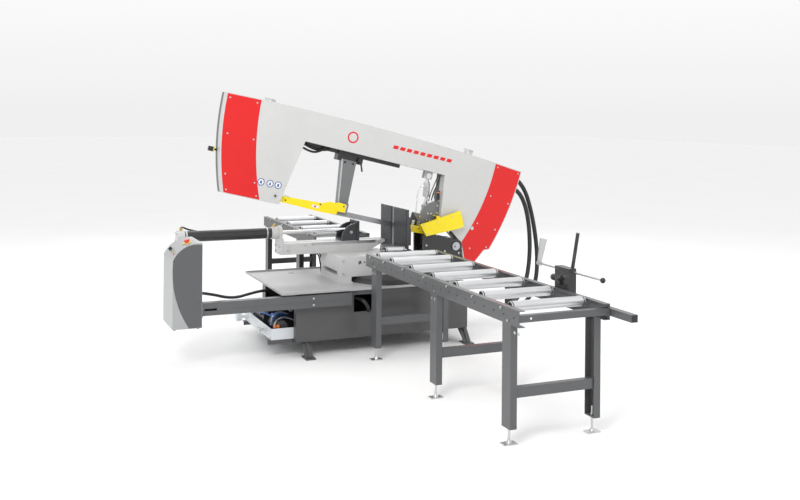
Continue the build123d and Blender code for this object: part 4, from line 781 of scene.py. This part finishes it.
for number, y in enumerate((-2735, -1675, -647)):
    bolt_set(f"leg_bolts_{number}", [at(-417, y + dy, 640) for dy in (-20, 22)], (-1, 0, 0), 9.0, 5.0,
             "machine",
             zinc, True)
prism("rail_end_plug", [at(181.5, -2947.5, 694), at(222.5, -2947.5, 694), at(222.5, -2947.5, 734),
                        at(181.5, -2947.5, 734)], Vector((0, 0.003, 0)), soft_black, "machine", 0.8)

# ------------------------------------------------------------------ length stop
lathe("stop_washer", at(235.2, -2255, 770), at(238.5, -2255, 770), [(0, 17), (1, 17)], zinc, "stop_slide")
bolt_set("stop_screws", [at(235, -2196, 770)], (1, 0, 0), 8.0, 6.0, "stop_slide", zinc)
lathe("stop_knob_grip", at(215, -2142, 810), at(215, -2094, 810), [(0, 19), (0.1, 21), (0.9, 21), (1, 18)],
      soft_black, "stop_slide")
lathe("stop_ball", at(215, -2645, 872), at(215, -2612, 872),
      [(0.0, 3), (0.1, 10), (0.3, 15), (0.5, 17), (0.7, 15), (0.9, 10), (1, 7)], soft_black, "stop_bar")

hub = at(188, -2236, 815)
lathe("star_knob_hub", hub + Vector((0, -0.016, 0)), hub + Vector((0, 0.010, 0)), [(0, 15), (1, 15)],
      soft_black,
      "stop_slide", 28)
for number in range(5):
    w = 2 * math.pi * number / 5 + 0.4
    tip = hub + Vector((0.024 * math.cos(w), -0.003, 0.024 * math.sin(w)))
    lathe(f"star_knob_lobe_{number}", tip + Vector((0, -0.011, 0)), tip + Vector((0, 0.011, 0)),
          [(0, 8), (0.2, 10), (0.8, 10), (1, 8)], soft_black, "stop_slide", 20)

# ------------------------------------------------------------------ floor and light
floor_data = bpy.data.meshes.new("floor")
floor_data.from_pydata([(-40, -40, 0), (40, -40, 0), (40, 60, 0), (-40, 60, 0)], [], [(0, 1, 2, 3)])
floor = bpy.data.objects.new("floor", floor_data)
bpy.context.scene.collection.objects.link(floor)
floor_material, tree, shader = new_material("pale_floor")
tree.links.new(ramp(tree, noise(tree, 0.8), [(0.3, (0.90, 0.90, 0.90)), (0.7, (0.92, 0.92, 0.92))]),
               shader.inputs["Base Color"])
shader.inputs["Roughness"].default_value = 0.7
shader.inputs["Specular IOR Level"].default_value = 0.1
floor_data.materials.append(floor_material)

world = bpy.data.worlds.new("studio")
world.use_nodes = True
bpy.context.scene.world = world
sky = world.node_tree
coord = sky.nodes.new("ShaderNodeTexCoord")
split = sky.nodes.new("ShaderNodeSeparateXYZ")
sky.links.new(coord.outputs["Generated"], split.inputs["Vector"])
sky.links.new(ramp(sky, split.outputs["Z"], [(0.0, (0.90, 0.90, 0.905)), (0.12, (1.0, 1.0, 1.0))]),
              sky.nodes["Background"].inputs["Color"])
sky.nodes["Background"].inputs["Strength"].default_value = 0.97


def area_light(name, place, target, size, power, colour=(1, 1, 1)):
    data = bpy.data.lights.new(name, "AREA")
    data.shape = "RECTANGLE"
    data.size, data.size_y = size
    data.energy = power
    data.color = colour
    obj = bpy.data.objects.new(name, data)
    obj.location = place
    obj.rotation_euler = (target - place).to_track_quat("-Z", "Y").to_euler()
    bpy.context.scene.collection.objects.link(obj)
    return obj


middle = at(-150, -500, 800)
area_light("key", at(-4200, -5200, 5200), middle, (2.2, 2.2), 190, (1.0, 0.99, 0.97))
area_light("fill", at(4800, -4200, 3600), middle, (3.5, 2.5), 40, (0.97, 0.98, 1.0))
area_light("top", at(0, 0, 6500), middle, (5.0, 5.0), 60)
area_light("rim", at(1500, 5200, 3800), middle, (4.0, 2.0), 90)
bpy.context.scene.view_settings.view_transform = "Standard"
